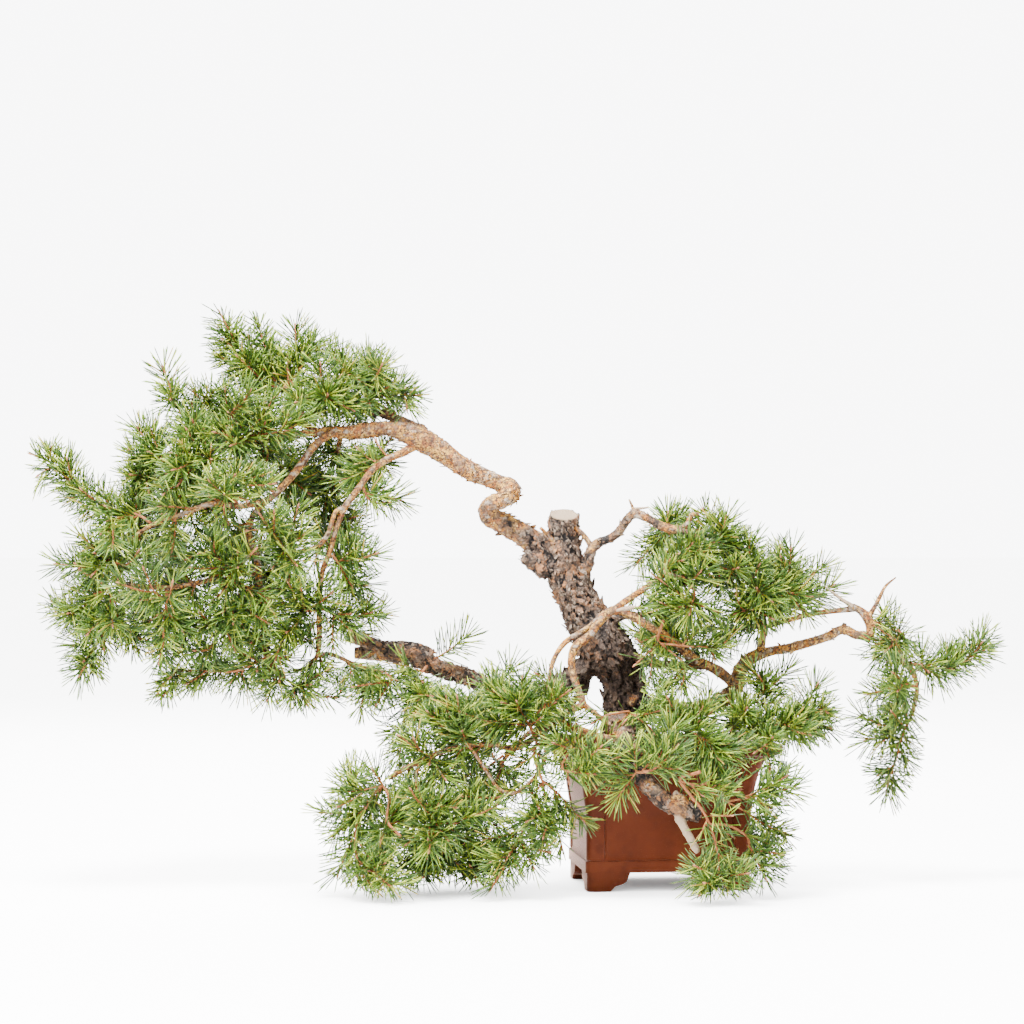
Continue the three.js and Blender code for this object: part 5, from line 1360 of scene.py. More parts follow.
bark.tint(grey_scale, (0.42, 0.33, 0.25))
bark.tint(bark.value("edge"), (0.036, 0.014, 0.006), 0.9)

# %% Old bark
age_value, height_value = bark.value("age"), bark.value("relief")
age_mask = bark.between(age_value, 0.3, 0.72)
plate_kind, plate_border = bark.scales(190, 0.8)


def tint_old(mask, colour, share=1):
    """Tints old bark by a share where a mask is 1."""
    bark.tint(bark.both(age_mask, mask), colour, share)


bark.tint(age_mask, (0.090, 0.050, 0.030))
tint_old(bark.between(height_value, 0.50, 0.80), (0.172, 0.105, 0.063))
tint_old(bark.between(plate_kind, 0.66, 0.69), (0.318, 0.235, 0.169), 0.8)
tint_old(bark.rest(bark.between(plate_kind, 0.26, 0.29)), (0.052, 0.029, 0.018), 0.75)
tint_old(plate_border, (0.024, 0.013, 0.008), 0.8)
rust_chip = bark.between(plate_kind, 0.42, 0.46)
rust_plate = bark.both(bark.between(bark.value("plate"), 0.52, 0.58), rust_chip)
not_oldest = bark.rest(bark.both(bark.between(age_value, 0.78, 0.99), 0.72))
tint_old(bark.both(not_oldest, rust_plate), (0.33, 0.130, 0.040), 0.85)
bark.patches((0.055, 0.032, 0.020), 260, 0.56, 0.64, 0.5)
tint_old(bark.rest(bark.between(height_value, 0.26, 0.52)), (0.008, 0.0045, 0.003))

# %% Damp bark with painted shade, dead and sawn wood
# A sine of the distance from the sawn face's middle draws its rings.
RINGS = 3200.0
cut_mask = bark.value("cut")
# Low on the trunk the bark turns nearly black: damp bark, and painted shade.
bark.tint(bark.value("damp_and_shade"), (0.026, 0.012, 0.0055), 0.74)
bark.tint(bark.value("dead"), (0.50, 0.36, 0.235))
bark.tint(cut_mask, (0.37, 0.268, 0.168))
rings = math_node(bark.tree, "SINE", bark.both(bark.value("from_middle"), RINGS), 0.0)
bark.tint(bark.both(cut_mask, bark.between(rings, -0.2, 1.0)), (0.27, 0.165, 0.09), 0.45)
bark.relief(0.0026, 300, 1000, 0.7)
bark_material = bark.done()

# %% The pieces of wood
thick_values = {
    **bark_values, "cut": wood_cut, "from_middle": cut_radius, "damp_and_shade": wood_damp_and_shade, "dead": wood_bare,
}
flake_values = {
    "age": np.repeat(bark_values["age"][flake_root], FLAKE_POINTS),
    "scale": np.repeat(bark_values["scale"][flake_root], FLAKE_POINTS),
    "damp_and_shade": np.repeat(wood_damp_and_shade[flake_root], FLAKE_POINTS),
    "relief": 0.45 + 0.5 * flake_kind, "plate": flake_kind, "scale_kind": flake_kind,
}
thin_values["dead"] = thin_dead
for name, (vertices, faces), values in (
    ("thick_wood", (bark_points, wood_faces), thick_values),
    ("thin_branches", (thin_points, thin_faces), thin_values),
    ("bark_flakes", flake_skin, flake_values),
):
    piece = new_piece(name, vertices, faces, [bark_material], values, smooth=name != "bark_flakes")
    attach(piece, "root")
    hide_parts("wood")

# %% [markdown]
# ## Twigs and needles
# A Scots pine bears its needles in pairs, set in a spiral round the twig like the scales of a
# cone, each a golden angle of 137.5 degrees from the last. They stand off the twig below and
# close up towards the bud. The CAD model holds a thin version of each leafy stem: a three-sided
# rod with a few needles. Its rod is read back here as lines, which get a round twig, a bud and
# the full number of needles.

# %% Lines of a leafy stem, from its CAD mesh
CLUSTER_EDGE = 0.0053
SAME_POINT = 1e-6


def merged(mesh):
    """Points and triangles of a mesh whose triangles are loose: equal points become one."""
    places = np.empty(len(mesh.vertices) * 3)
    mesh.vertices.foreach_get("co", places)
    corners = np.empty(len(mesh.loops), np.int64)
    mesh.loops.foreach_get("vertex_index", corners)
    rows = np.round(places.reshape(-1, 3) / SAME_POINT).astype(np.int64)
    rounded, index = np.unique(rows, axis=0, return_inverse=True)
    return rounded * SAME_POINT, index.reshape(-1)[corners].reshape(-1, 3)


def groups(count, pairs):
    """The lowest number that each of count points is joined to, directly or through others."""
    group = np.arange(count)
    while True:
        lowest = np.minimum(group[pairs[:, 0]], group[pairs[:, 1]])
        before = group.copy()
        np.minimum.at(group, pairs[:, 0], lowest)
        np.minimum.at(group, pairs[:, 1], lowest)
        group = group[group]
        if (group == before).all():
            return group


def stem_graph(mesh):
    """The rod's middle points and the pairs of them that are joined.

    A needle's tip is a point with three triangles, and is dropped. Of the rest, points joined by a
    short edge lie on one ring or whorl; the longer edges run along the rod."""
    points, triangles = merged(mesh)
    count = np.bincount(triangles.ravel(), minlength=len(points))
    edges = np.concatenate([triangles[:, [0, 1]], triangles[:, [1, 2]], triangles[:, [2, 0]]])
    edges = np.unique(np.sort(edges, axis=1), axis=0)
    edges = edges[(count[edges] > 3).all(axis=1)]
    length = np.linalg.norm(points[edges[:, 0]] - points[edges[:, 1]], axis=1)
    group = groups(len(points), edges[length < CLUSTER_EDGE])
    used = np.unique(edges)
    owners, number = np.unique(group[used], return_inverse=True)
    sums = [np.bincount(number, points[used, k], len(owners)) for k in range(3)]
    middles = np.stack(sums, axis=1) / np.bincount(number)[:, None]
    ring_of = np.full(len(points), -1)
    ring_of[used] = number
    pairs = np.unique(np.sort(ring_of[edges], axis=1), axis=0)
    return middles, pairs[pairs[:, 0] != pairs[:, 1]]


def way_back(middles, pairs, root):
    """For each point the one before it on the way from the root, and how far it is from the root."""
    before, reach, open_ends = {root: None}, {root: 0.0}, [root]
    while open_ends:
        here = open_ends.pop()
        for there in [*pairs[pairs[:, 0] == here, 1], *pairs[pairs[:, 1] == here, 0]]:
            if there not in before:
                before[there] = here
                reach[there] = reach[here] + np.linalg.norm(middles[there] - middles[here])
                open_ends.append(there)
    return before, reach


def stem_paths(middles, pairs, bearing_points):
    """The rod split into lines, each from its foot to a free end, the longest first.

    The root is the end nearest to the wood. From each free end the line is followed back until it
    meets a line that is already there."""
    ends = np.flatnonzero(np.bincount(pairs.ravel(), minlength=len(middles)) == 1)
    gaps = [np.linalg.norm(bearing_points - middles[k], axis=1).min() for k in ends]
    root = ends[int(np.argmin(gaps))]
    before, reach = way_back(middles, pairs, root)
    paths, used = [], set()
    for end in sorted(set(ends) - {root}, key=lambda k: -reach[k]):
        line, here = [], end
        while here is not None and here not in used:
            line.append(here)
            here = before[here]
        used.update(line)
        if here is not None:
            line.append(here)
        paths.append(middles[line[::-1]])
    return paths


# %% Needles along a line
NEEDLE_LENGTH = 0.034
GOLDEN_ANGLE = np.radians(137.508)
THINNING_OUT = (0.0465, 0.093)
THINNED_BY = 0.72
LONGEST_LEAFY = 0.125
PAIR_STEP = 0.00138
TWIG_SKIN = 0.0009


def leaf_places(length, random):
    """Where on a twig of some length the needle pairs sit, measured back from its tip.

    They are evenly close on the youngest part, and on the older part fewer and fewer are left."""
    back = np.arange(0.0004, min(length * 0.93, LONGEST_LEAFY), PAIR_STEP)
    chance = 1.0 - THINNED_BY * ramp(back, *THINNING_OUT)
    return back[random.uniform(0, 1, len(back)) < chance]


def needle_pairs(line, random, scale):
    """Feet, directions and lengths of the needles along a line.

    Pair k stands at k golden angles round the line. Its lean from the line grows from 28 degrees
    at the tip to about 70 further down, and the two needles of a pair part by some degrees."""
    along = distance_along(line)
    back = leaf_places(along[-1], random)
    at = along[-1] - back
    foot, ahead, side, across = (
        np.stack([np.interp(at, along, rows[:, k]) for k in range(3)], axis=1)
        for rows in (line, *directions(line))
    )
    turn = np.arange(len(at)) * GOLDEN_ANGLE + random.normal(0, 0.22, len(at))
    outwards = np.cos(turn)[:, None] * side + np.sin(turn)[:, None] * across
    lean = np.radians(28 + 42 * (1 - np.exp(-back / 0.012)) + random.normal(0, 6, len(at)))
    middle = np.cos(lean)[:, None] * ahead + np.sin(lean)[:, None] * outwards
    apart = unit(np.cross(middle, outwards + random.normal(0, 0.35, outwards.shape)))
    opening = np.radians(random.uniform(4, 13, len(at)))[:, None]
    length = NEEDLE_LENGTH * scale * random.uniform(0.82, 1.1, len(at))
    length = length * (1 - 0.12 * np.exp(-back / 0.004))
    feet = np.repeat(foot + outwards * TWIG_SKIN, 2, axis=0)
    sign = np.tile([1.0, -1.0], len(at))[:, None]
    aim = np.repeat(middle + 0.08 * ahead + np.array([0, 0, 0.04]), 2, axis=0)
    aim = aim + sign * np.repeat(np.tan(opening) * apart, 2, axis=0)
    aim = unit(aim + random.normal(0, 0.03, aim.shape))
    return feet, aim, np.repeat(length, 2) * random.uniform(0.95, 1.05, 2 * len(at))


# %% Needle shapes
NEEDLE_RADII = np.array([0.72, 0.80]) / 1000
NEEDLE_SHOULDER = 0.86
NEEDLE_POINTS = 7


def needle_skins(feet, aim, length, random):
    """Every needle as a straight three-sided spike: a ring at its foot, one at its shoulder, a point.

    A place at share t of the length is foot + t length aim. Up to the shoulder the needle keeps
    its width, as a real one does, and then it closes to its point."""
    count = len(feet)
    t = np.array([0.0, NEEDLE_SHOULDER])
    centre = feet[:, None] + length[:, None, None] * t[:, None] * aim[:, None]
    tip = feet + length[:, None] * aim
    side = unit(np.cross(aim, random.normal(size=aim.shape)))
    across = np.cross(aim, side)
    angle = np.array([0, 2, 4]) * np.pi / 3
    circle = np.cos(angle)[:, None] * side[:, None] + np.sin(angle)[:, None] * across[:, None]
    rings = centre[:, :, None] + NEEDLE_RADII[:, None, None] * circle[:, None]
    vertices = np.concatenate([rings.reshape(count, 6, 3), tip[:, None]], axis=1)
    one = np.array([
        (0, 1, 4, 3), (1, 2, 5, 4), (2, 0, 3, 5),
        (3, 4, 6, -1), (4, 5, 6, -1), (5, 3, 6, -1), (2, 1, 0, -1),
    ])
    starts = (np.arange(count) * NEEDLE_POINTS)[:, None, None]
    return vertices, np.where(one[None] >= 0, one[None] + starts, -1)


# %% Where needles may be
BOX_MARGIN = 0.0003
LEAST_HEIGHT = 0.001
UNDER_LIP = 0.1905


def in_pot(points):
    """True for each point inside the pot's outer skin, below its lip."""
    x, y = unturned(points)
    outside, level = np.array(POT_OUTSIDE).T / 1000
    wall_outside = np.interp(points[:, 2], level, outside)
    half_x, half_y = POT_HALF[0] + wall_outside, POT_HALF[1] + wall_outside
    return (np.abs(x) < half_x) & (np.abs(y) < half_y) & (points[:, 2] < UNDER_LIP)


def within_bounds(vertices):
    """True for each needle that stays inside the CAD box, above the ground and out of the pot."""
    low, high = np.array(cad_box[0]) + BOX_MARGIN, np.array(cad_box[1]) - BOX_MARGIN
    inside_box = ((vertices > low) & (vertices < high)).all(axis=(1, 2))
    above_ground = (vertices[:, :, 2] > LEAST_HEIGHT).all(axis=1)
    pot_points = in_pot(vertices.reshape(-1, 3)).reshape(vertices.shape[:2])
    return inside_box & above_ground & ~pot_points.any(axis=1)


# %% [markdown]
# ## Wood that shows from the front
# The tree is grown so that its best boughs stay in sight. Needles set by a formula would hide them,
# so the parts that show are listed, and most needles that would stand before them are left out.

# %% Parts that no needle hides
# Limbs, with the part of their length as shares from the foot. Then places on the pot's wall:
# across, back, up and a radius, in millimetres as sighted.
SHOWN = {
    "front_bough": (0.7, 1), "front_snag": (0, 1), "front_stub": (0, 1), "tan_arch": (0.08, 1),
    "trunk": (0.32, 0.47), "tan_arch_twin": (0, 0.8), "bough": (0.3, 0.97),
    "low_bough": (0.5, 0.72), "low_bough_prong": (0.3, 1), "branch_left": (0.1, 0.75),
    "branch_down": (0.1, 0.5), "tan_strand": (0, 0.6), "branch_low_left": (0.3, 0.9),
}
SHOWN_WALL = [
    (80, -20, 122, 13), (81, -20, 44, 14), (300, -90, 82, 12), (308, -90, 54, 9), (326, -90, 168, 9),
    (318, -90, 132, 8), (302, -90, 106, 9),
]
SHOWN_STEP = 0.004
HIDING_KEPT = 0.12
SIGHT_MARGIN = 0.001


def sighted(points):
    """Across and up as sighted from the front and how far back, in metres: true_place undone."""
    back = points[..., 1] - sight_foot[1]
    share = 1 + back / SIGHT_DISTANCE
    return (points[..., 0] - sight_foot[0]) / share, (points[..., 2] - SIGHT_HEIGHT) / share, back


shown_points, shown_radii = [], []
for name, (first, last) in SHOWN.items():
    line, radii = limb_route(name, SHOWN_STEP)
    part = slice(int(first * len(line)), int(np.ceil(last * len(line))))
    shown_points.append(line[part])
    shown_radii.append(radii[part])
shown_points.append(true_place(SHOWN_WALL))
shown_radii.append(np.array(SHOWN_WALL)[:, 3] / 1000)
shown = np.stack(sighted(np.concatenate(shown_points)), axis=1)
shown_radius = np.concatenate(shown_radii) + SIGHT_MARGIN
print(len(shown), "points of wood and wall kept in sight")


def before_shown(points):
    """True for each point that stands, as sighted, before wood that shows."""
    across, up, back = sighted(points)
    near = np.hypot(across[:, None] - shown[:, 0], up[:, None] - shown[:, 1]) < shown_radius
    return (near & (back[:, None] < shown[:, 2])).any(axis=1)


def hides_wood(vertices):
    """True for each needle that hides such wood: four places along it are tried."""
    half_way = vertices[:, [0, 3]].mean(axis=1)
    tried = np.stack([vertices[:, 0], half_way, vertices[:, 3], vertices[:, 6]], axis=1)
    return before_shown(tried.reshape(-1, 3)).reshape(-1, 4).any(axis=1)


# %% [markdown]
# ## Side shoots
# A stem does not end alone. Most tips have a sister shoot beside them, and the older, bare part
# bears short shoots. Both leave the stem at a random turn round it and bend towards the light.

# %% Short shoots on the bare part of a stem, and sisters beside each tip
SPUR_FIRST, SPUR_STEP, SPUR_FREE_TIP = 0.014, 0.021, 0.036
SPUR_LEANS, SPUR_LENGTHS = (0.7, 1.1), (0.014, 0.026)
SISTERS = 0.75
SISTER_STEM, SISTER_BACK = 0.028, (0.030, 0.044)
SISTER_LEANS, SISTER_LENGTHS = (0.75, 1.0), (0.034, 0.048)


def side_line(line, k, leans, lengths, random):
    """A shoot that leaves a line at its point k and bends a little towards the line and upwards.

    Its turn round the line is random. Its lean and its length lie between two limits."""
    ahead, side, across = (rows[k] for rows in directions(line))
    turn = random.uniform(0, 2 * np.pi)
    lean = random.uniform(*leans)
    length = random.uniform(*lengths)
    outwards = np.cos(turn) * side + np.sin(turn) * across
    aim = np.cos(lean) * ahead + np.sin(lean) * outwards
    t = np.linspace(0, 1, 7)[:, None]
    return line[k] + length * (t * aim + t**2 * 0.2 * (ahead + np.array([0, 0, 0.6])))


def spurs(line, random):
    """Short lines on the older part of a stem, and mostly one longer sister beside its tip."""
    along = distance_along(line)
    made = []
    places = np.arange(SPUR_FIRST, along[-1] - SPUR_FREE_TIP, SPUR_STEP)
    for at in places + random.uniform(-0.004, 0.004):
        k = min(int(np.searchsorted(along, max(at, 0.001))), len(line) - 1)
        made.append(side_line(line, k, SPUR_LEANS, SPUR_LENGTHS, random))
    if random.uniform() < SISTERS and along[-1] > SISTER_STEM:
        at = along[-1] - random.uniform(*SISTER_BACK)
        k = int(np.searchsorted(along, max(at, 0.003)))
        made.append(side_line(line, k, SISTER_LEANS, SISTER_LENGTHS, random))
    return made


# %% [markdown]
# ## Further shoots
# The CAD stems are fewer than the real ones. Where the crown has more, the place of a shoot's tip
# is listed here, group by group. The shoot itself finds the nearest twig that already runs its
# way, and springs from there.

# %% Further shoots, by the place of their tips: (across, back, up) in millimetres, as sighted
MORE_TIPS = {
    "left end": [
        (-545, -95, 470), (-520, -50, 458), (-500, -112, 440), (-480, -60, 436), (-455, -108, 462),
        (-440, -58, 450), (-640, -55, 572), (-615, -72, 578), (-520, -90, 475), (-545, -60, 425),
        (-525, -100, 410), (-500, -80, 405), (-555, -90, 440), (-490, -40, 460), (-520, -40, 420),
        (-480, -100, 420), (-460, -50, 420), (-535, -100, 455), (-510, -60, 480), (-600, -60, 560),
        (-630, -62, 545), (-590, -60, 530), (-565, -80, 500), (-580, -90, 425), (-560, -60, 400),
        (-590, -85, 360), (-560, -80, 340), (-530, -70, 330), (-500, -60, 312), (-558, -70, 285),
        (-500, -70, 360),
    ],
    "left middle": [
        (-420, -70, 470), (-396, -104, 458), (-430, -104, 434), (-400, -58, 430), (-380, -94, 482),
        (-385, -72, 402), (-425, -60, 384), (-368, -60, 452), (-350, -90, 470), (-352, -20, 440),
        (-440, -80, 505), (-410, -60, 500), (-385, -50, 510), (-370, -100, 505), (-420, -110, 480),
        (-395, -30, 480), (-440, -100, 400), (-415, -100, 360), (-395, -90, 380), (-440, -40, 370),
        (-400, -30, 390), (-410, -95, 392), (-425, -80, 372), (-415, -70, 335), (-440, -80, 318),
        (-393, -90, 548), (-399, -70, 462),
    ],
    "upper left": [
        (-470, -30, 600), (-450, -62, 592), (-482, -72, 574), (-432, -52, 604), (-410, -80, 600),
        (-455, -80, 545), (-360, -70, 640), (-330, -62, 612), (-345, -70, 545), (-330, -40, 562),
        (-420, -20, 540), (-390, 20, 610), (-365, 10, 580), (-480, -60, 600), (-400, -30, 655),
        (-455, -60, 645), (-485, -70, 525), (-440, -90, 585),
    ],
    "crown": [
        (-240, 20, 705), (-200, -22, 668), (-300, -44, 640), (-282, -62, 622), (-330, 30, 640),
        (-232, 40, 640), (-250, -20, 650), (-310, 40, 700), (-190, 30, 672), (-150, 20, 645),
        (-140, -20, 632), (-215, -30, 632), (-190, -20, 640), (-300, -70, 622), (-290, -60, 592),
        (-372, 30, 733), (-280, 10, 708), (-225, 20, 700), (-200, 40, 695),
    ],
    "behind the bough": [
        (-300, 42, 600), (-270, 60, 582), (-240, 42, 562), (-208, 30, 570), (-198, 60, 542),
        (-230, 90, 522), (-260, 62, 542), (-292, 42, 560), (-322, 30, 582), (-310, 72, 530),
        (-280, 92, 502), (-218, 62, 500), (-330, 62, 482), (-302, 100, 470), (-180, 40, 560),
        (-345, 90, 510), (-300, 20, 520), (-240, 60, 450), (-210, 40, 470), (-360, 60, 440),
        (-330, 90, 410), (-380, 90, 440), (-205, -40, 578), (-180, -30, 588), (-212, 0, 525),
        (-215, -20, 460), (-235, 0, 440), (-170, 20, 560),
    ],
    "strand": [
        (-262, -72, 430), (-290, -50, 370), (-290, -20, 340), (-195, -30, 372), (-215, -60, 398),
        (-262, -60, 365), (-355, -90, 392),
    ],
    "lower left": [
        (-370, -52, 332), (-345, -72, 322), (-330, -40, 292), (-300, -62, 302), (-286, -40, 322),
        (-270, -62, 280), (-310, -82, 270), (-352, -42, 262), (-290, -72, 252), (-420, -90, 310),
        (-360, -90, 370), (-330, -80, 390), (-440, -60, 350), (-500, -60, 330), (-320, -60, 360),
        (-310, -30, 330), (-335, -20, 310), (-315, -90, 300), (-300, -90, 335), (-330, -60, 275),
        (-455, -70, 275), (-470, -60, 257), (-340, -80, 285), (-215, -70, 278), (-195, -50, 268),
    ],
    "tail": [
        (-165, -50, 250), (-200, -72, 232), (-225, -60, 270), (-245, -40, 285), (-200, -62, 278),
        (-180, -62, 275),
    ],
    "cascade": [
        (-120, -92, 232), (-100, -130, 222), (-92, -100, 200), (-130, -140, 190), (-110, -142, 160),
        (-140, -110, 142), (-90, -142, 140), (-75, -120, 160), (-115, -110, 120), (-80, -130, 110),
        (-60, -142, 120), (-100, -100, 92), (-70, -110, 80), (-120, -120, 70), (-45, -120, 100),
        (-60, -100, 52), (-90, -120, 42), (-110, -110, 22), (-55, -130, 22), (-90, -100, 252),
        (-60, -110, 242), (-40, -90, 262), (-20, -100, 232), (0, -110, 202), (20, -100, 242),
        (-70, -90, 192), (-30, -132, 202), (40, -90, 252), (60, -100, 232), (-150, -100, 60),
        (-185, -110, 40), (-70, -40, 110), (-130, -60, 110), (-150, -60, 160), (-110, -40, 250),
        (-80, -60, 220), (-50, -60, 240), (-20, -60, 260), (10, -80, 225), (-130, -100, 215),
        (-60, -140, 225), (-10, -130, 240), (30, -120, 180), (-35, -70, 200), (50, -60, 215),
        (-90, -70, 150), (-150, -130, 100), (-165, -100, 30), (0, -100, 140), (10, -120, 160),
        (-5, -110, 120), (-15, -80, 150), (-50, -110, 165), (-60, -90, 175), (-100, -100, 185),
        (5, -90, 180), (-165, -110, 125), (-175, -90, 105), (-215, -100, 145), (-140, -100, 82),
        (-150, -120, 75), (-20, -100, 75), (85, -90, 212), (70, -100, 205), (35, 20, 278),
        (-100, 20, 318), (-120, 30, 310),
    ],
    "upper right": [
        (230, 10, 490), (256, 0, 496), (280, 10, 480), (214, 22, 460), (240, 20, 450),
        (266, -30, 450), (290, 0, 440), (225, -42, 430), (250, -52, 414), (275, -30, 402),
        (300, -42, 420), (220, 10, 410), (260, 20, 402), (240, -10, 470), (285, 30, 410),
        (330, 0, 400), (200, -10, 420), (230, -20, 400), (210, 10, 440), (270, 0, 430),
        (250, -50, 445), (190, -50, 410), (285, -20, 488), (300, 10, 435), (300, -30, 380),
        (320, -30, 365), (335, -20, 345), (310, 20, 395), (240, -40, 452), (252, -30, 430),
        (262, -30, 415), (240, -20, 412), (225, -30, 418),
    ],
    "right of the trunk": [
        (236, -40, 362), (290, -30, 330), (300, -20, 360), (320, 0, 342), (270, -60, 300),
        (175, -30, 365), (205, -20, 365), (275, 0, 360), (190, 30, 332), (215, 30, 342),
        (265, 30, 342), (240, 30, 310), (205, 30, 330), (185, 30, 322),
    ],
    "over the rim": [
        (200, -82, 270), (225, -92, 262), (215, -112, 226), (246, -110, 222), (396, -90, 216),
        (170, -120, 250), (150, -130, 215), (380, -60, 235), (420, -90, 228), (375, -100, 205),
        (290, -60, 240), (190, -150, 200), (160, -150, 230), (80, -120, 240), (110, -130, 215),
        (410, -40, 224), (390, -90, 206), (365, -60, 222), (340, -60, 212), (262, -110, 208),
        (352, -60, 198), (330, -40, 275), (320, -20, 285), (262, -150, 190), (285, -152, 180),
        (300, -155, 165), (270, -160, 150), (310, -150, 150), (325, -146, 175), (250, -150, 168),
        (406, -60, 220), (388, -72, 222),
    ],
    "far right": [
        (625, -10, 318), (600, -5, 305), (571, 0, 296), (540, 0, 292), (515, -5, 300),
        (500, 0, 352), (585, -20, 285),
    ],
}
REACH = (0.024, 0.11)
TOO_FAR = 1.0


def lines_to_tips(lines):
    """For each further tip, the line it springs from, and the shoot as a bent line.

    The foot is the point that is near the tip and whose branch already runs towards it. The shoot
    leaves along the branch and turns to its tip: a quadratic curve through a middle point."""
    feet = np.concatenate([line for line, _ in lines])
    aheads = np.concatenate([directions(line)[0] for line, _ in lines])
    owners = np.concatenate([np.full(len(line), owner) for line, owner in lines])
    made = {}
    for tip in true_place([tip for tips in MORE_TIPS.values() for tip in tips]):
        reach = tip - feet
        distance = np.linalg.norm(reach, axis=1)
        towards = (reach * aheads).sum(axis=1) / np.maximum(distance, 1e-6)
        out_of_reach = (distance < REACH[0]) | (distance > REACH[1])
        cost = distance * (1.6 - 0.6 * towards) + TOO_FAR * out_of_reach
        k = int(np.argmin(cost))
        if out_of_reach[k]:
            continue
        bend = feet[k] + aheads[k] * distance[k] * 0.35 + (tip - feet[k]) * 0.12
        t = np.linspace(0, 1, max(6, int(distance[k] / 0.006)))[:, None]
        shoot = (1 - t) ** 2 * feet[k] + 2 * t * (1 - t) * bend + t**2 * tip
        made.setdefault(owners[k], []).append(shoot)
    return made


# %% Bud at the end of a shoot
BUD_LENGTH = 0.0075
BUD_AT = [0, 0.2, 0.5, 1.0]
BUD_RADII = np.array([1.0, 1.6, 1.4, 0.3]) / 1000


def bud(tip, ahead):
    """A pointed bud: circles along the shoot's direction, wide near the foot and closing to a tip."""
    return tube(tip + np.array(BUD_AT)[:, None] * BUD_LENGTH * ahead, BUD_RADII, 5)


# %% [markdown]
# ## Leaf and twig colours
# Every needle carries one random number, which makes it dark, fresh or yellow green, and a few
# brown. A slow noise in space then darkens whole tufts, and the tips are a little paler. Twigs are
# orange-brown with darker and paler scales, and the buds redder.

# %% Leaf and twig materials
needle = Finish("pine needle", (0.036, 0.088, 0.011), 0.4)
needle.tint_above(needle.value("kind"), [
    (0.30, 0.72, (0.168, 0.290, 0.026), 1),
    (0.76, 0.88, (0.47, 0.55, 0.052), 1),
    (0.985, 0.99, (0.52, 0.34, 0.05), 1),
])
needle.patches((0.058, 0.115, 0.024), 9, 0.47, 0.66, 0.45)
needle.tint(needle.between(needle.value("along"), 0.86, 1.0), (0.45, 0.45, 0.12), 0.5)
needle.relief(0.00008, 1500, 5000, 0.4)
needle_material = needle.done()

twig = Finish("young twig", (0.34, 0.108, 0.030), 0.75)
twig.patches((0.20, 0.060, 0.020), 320, 0.48, 0.64, 0.7)
twig.patches((0.50, 0.24, 0.095), 90, 0.5, 0.7, 0.5)
twig.tint(twig.value("bud"), (0.42, 0.165, 0.085))
twig.relief(0.0007, 480, 1500, 0.5)
twig_material = twig.done()

# %% [markdown]
# ## Dress each leafy stem
# Each CAD stem gives its own lines. The thin branches of the wood are lines too, and a further
# shoot on one of them belongs to the stem whose foot is nearest. One piece for each stem then
# holds its twigs, buds and needles.

# %% Lines and their owners
LINE_STEP = 0.0055
BRANCH_STEP = 0.008
cad_wood_points = merged(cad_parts["wood"].data)[0]
leafy_names = sorted(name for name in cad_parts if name.startswith("leafy_"))
cad_lines = {}
for name in leafy_names:
    paths = stem_paths(*stem_graph(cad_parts[name].data), cad_wood_points)
    cad_lines[name] = [smooth_line(path, LINE_STEP) for path in paths if len(path) > 1]


def nearest_stem(line):
    """The leafy stem whose foot is nearest to the end of a branch."""
    return min(leafy_names, key=lambda name: np.linalg.norm(cad_lines[name][0][0] - line[-1]))


owned = [(line, name) for name, lines in cad_lines.items() for line in lines]
branches = [limb_route(name, BRANCH_STEP)[0] for name in THIN]
owned += [(line, nearest_stem(line)) for line in branches]
further = lines_to_tips(owned)
print("lines:", len(owned), "further shoots:", sum(len(made) for made in further.values()))

# %% The lines of a stem
INTO_WOOD = 0.004
MAY_HIDE = 0.3


def may_grow(line):
    """True for a side shoot that stays within bounds and hardly hides wood that shows."""
    return within_bounds(line[None, 2:])[0] and before_shown(line[1:]).mean() < MAY_HIDE


def rooted(line):
    """The line with one more point, a little back into the wood that bears it."""
    return np.concatenate([(line[0] - unit(line[1] - line[0]) * INTO_WOOD)[None], line])


def stem_lines(name, random):
    """The lines of one leafy stem, each with True for the main one: its own, further and short."""
    lines = [(line, k == 0) for k, line in enumerate(cad_lines[name])]
    lines += [(line, False) for line in further.get(name, [])]
    lines += [(spur, False) for line, _ in list(lines) for spur in spurs(line, random)]
    side_lines = [(line, False) for line, is_main in lines if not is_main and may_grow(line)]
    return [(rooted(cad_lines[name][0]), True), *side_lines]


# %% Twigs, buds and needles of a stem
TWIG_SIDES = 5
SHOOT_SIDES = 4


def twig_skin(line, is_main):
    """A round twig: a main stem from 2.3 to 1.35 mm in radius, a side shoot from 1.45 to 1.15."""
    t = np.linspace(0, 1, len(line))
    if is_main:
        return tube(line, 0.0023 - 0.00095 * t**0.7, TWIG_SIDES)
    return tube(line, 0.00145 - 0.0003 * t, SHOOT_SIDES)


def needles_on(lines, random):
    """The needles on some lines that stay: 7 points for each, and their faces; and those left out."""
    leaves = [needle_pairs(line, random, random.uniform(0.8, 1.2)) for line, _ in lines]
    feet, aim, length = (np.concatenate(parts) for parts in zip(*leaves))
    vertices, faces = needle_skins(feet, aim, length, random)
    spared = random.uniform(size=len(vertices)) < HIDING_KEPT
    kept = within_bounds(vertices) & (~hides_wood(vertices) | spared)
    return vertices[kept], faces[:kept.sum()], int((~kept).sum())


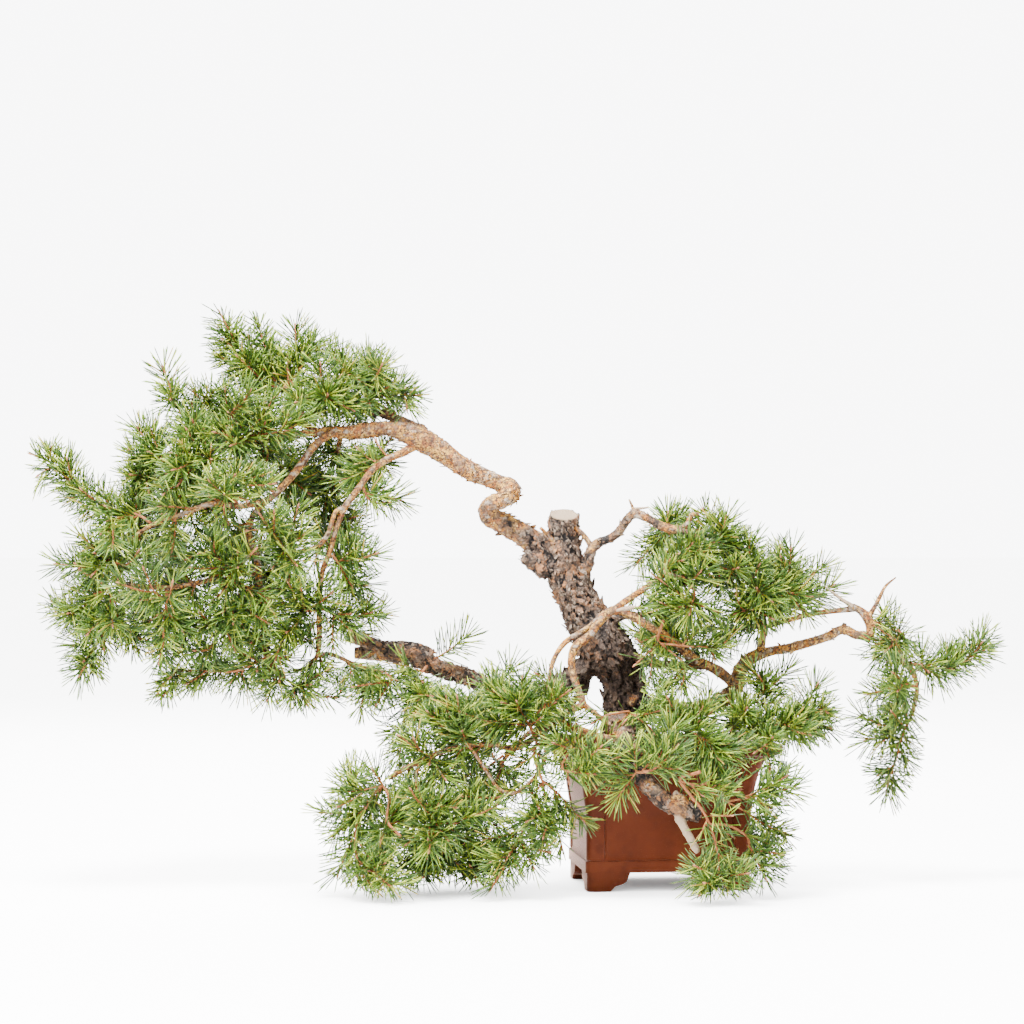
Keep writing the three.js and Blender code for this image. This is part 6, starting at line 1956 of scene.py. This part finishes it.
def dressed_stem(name, seed):
    """Twigs, buds and needles of one leafy stem as one piece. Returns its needles and those left out."""
    random = np.random.default_rng(seed)
    lines = stem_lines(name, random)
    skins = []
    for line, is_main in lines:
        skins += [twig_skin(line, is_main), bud(line[-1], unit(line[-1] - line[-2]))]
    bud_share = np.concatenate([np.full(len(skin[0]), k % 2) for k, skin in enumerate(skins)])
    vertices, faces, left_out = needles_on(lines, random)
    twigs = joined(skins)
    points, all_faces = joined([twigs, (vertices.reshape(-1, 3), faces.reshape(-1, 4))])
    kinds = np.repeat(random.uniform(0, 1, len(vertices)), NEEDLE_POINTS)
    along = np.tile(np.array([0] * 3 + [NEEDLE_SHOULDER] * 3 + [1.0]), len(vertices))
    no_twig = np.zeros(len(bud_share))
    values = {
        "kind": np.concatenate([no_twig, kinds]), "along": np.concatenate([no_twig, along]),
        "bud": np.concatenate([bud_share, np.zeros(len(kinds))]),
    }
    piece = new_piece(
        name.replace("leafy_", "twigs_"), points, all_faces, [twig_material, needle_material],
        values, np.arange(len(all_faces)) >= len(twigs[1]),
    )
    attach(piece, "root")
    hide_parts(name)
    return len(vertices), left_out


counts = np.array([dressed_stem(name, 100 + k) for k, name in enumerate(leafy_names)])
print("needles:", counts[:, 0].sum(), "left out:", counts[:, 1].sum())

# %% [markdown]
# ## Floor and light
# A plain pale studio: one floor that runs far back, and large soft lamps from above, from both
# sides and from behind, so that no shadow is hard and the needles inside the crown still show.

# %% A floor and air that look brighter than they light, and a painted contact shadow on the floor
def glow_to_camera(tree, lights, seen):
    """One number for the light that a thing gives, and another for how bright it looks."""
    path = tree.nodes.new("ShaderNodeLightPath")
    extra = math_node(tree, "MULTIPLY", path.outputs["Is Camera Ray"], seen - lights)
    return math_node(tree, "ADD", extra, lights)


FLOOR_HALF = 30.0
FLOOR_LIGHT, FLOOR_SEEN = 0.1, 7.4
SHADE_REACH = 0.16
pale = Finish("pale floor", (0.86, 0.86, 0.865), 0.9)
pale.shader.inputs["Emission Color"].default_value = (1, 1, 1, 1)
# The floor's glow is dimmed near the pot and the wood by ambient occlusion: a painted contact shadow.
painted_contact_shadow = pale.tree.nodes.new("ShaderNodeAmbientOcclusion")
painted_contact_shadow.inputs["Distance"].default_value = SHADE_REACH
floor_glow_with_painted_shadow = pale.both(glow_to_camera(pale.tree, FLOOR_LIGHT, FLOOR_SEEN), painted_contact_shadow.outputs["AO"])
pale.tree.links.new(floor_glow_with_painted_shadow, pale.shader.inputs["Emission Strength"])
floor_points = FLOOR_HALF * np.array([(-1, -1, 0), (1, -1, 0), (1, 1, 0), (-1, 1, 0)])
floor = new_piece("floor", floor_points, np.array([[0, 1, 2, 3]]), [pale.done()], smooth=False)

LIGHT_OF_AIR, SEEN_AIR = 0.78, 8.6
world = bpy.data.worlds.new("studio air")
bpy.context.scene.world = world
world.use_nodes = True
background = next(n for n in world.node_tree.nodes if n.type == "BACKGROUND")
background.inputs["Color"].default_value = (1, 1, 1.01, 1)
air_glow = glow_to_camera(world.node_tree, LIGHT_OF_AIR, SEEN_AIR)
world.node_tree.links.new(air_glow, background.inputs["Strength"])


# %% Lamps
def lamp(name, place_at, target, size, power):
    """A large soft round lamp that faces a target."""
    data = bpy.data.lights.new(name, "AREA")
    data.shape = "DISK"
    data.size = size
    data.energy = power
    made = bpy.data.objects.new(name, data)
    made.location = place_at
    aim = Vector(target) - Vector(place_at)
    made.rotation_euler = aim.to_track_quat("-Z", "Y").to_euler()
    bpy.context.scene.collection.objects.link(made)


lamp("top_lamp", (-0.4, -0.9, 3.2), (0, 0, 0.3), 1.2, 500)
lamp("left_lamp", (-3.0, -2.2, 2.0), (0, 0, 0.4), 1.2, 350)
lamp("right_lamp", (3.0, -2.4, 1.8), (0, 0, 0.4), 1.6, 95)
lamp("back_lamp", (-0.6, 2.8, 2.4), (-0.2, 0, 0.45), 1.8, 260)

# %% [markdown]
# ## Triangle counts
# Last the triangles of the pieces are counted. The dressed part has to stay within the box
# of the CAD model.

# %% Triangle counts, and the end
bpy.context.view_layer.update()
added = [
    item.data for item in bpy.data.objects
    if item.type == "MESH" and item.data.materials and "leafy" not in item.name
]
print("triangles in all pieces:", sum(len(mesh.loops) - 2 * len(mesh.polygons) for mesh in added))
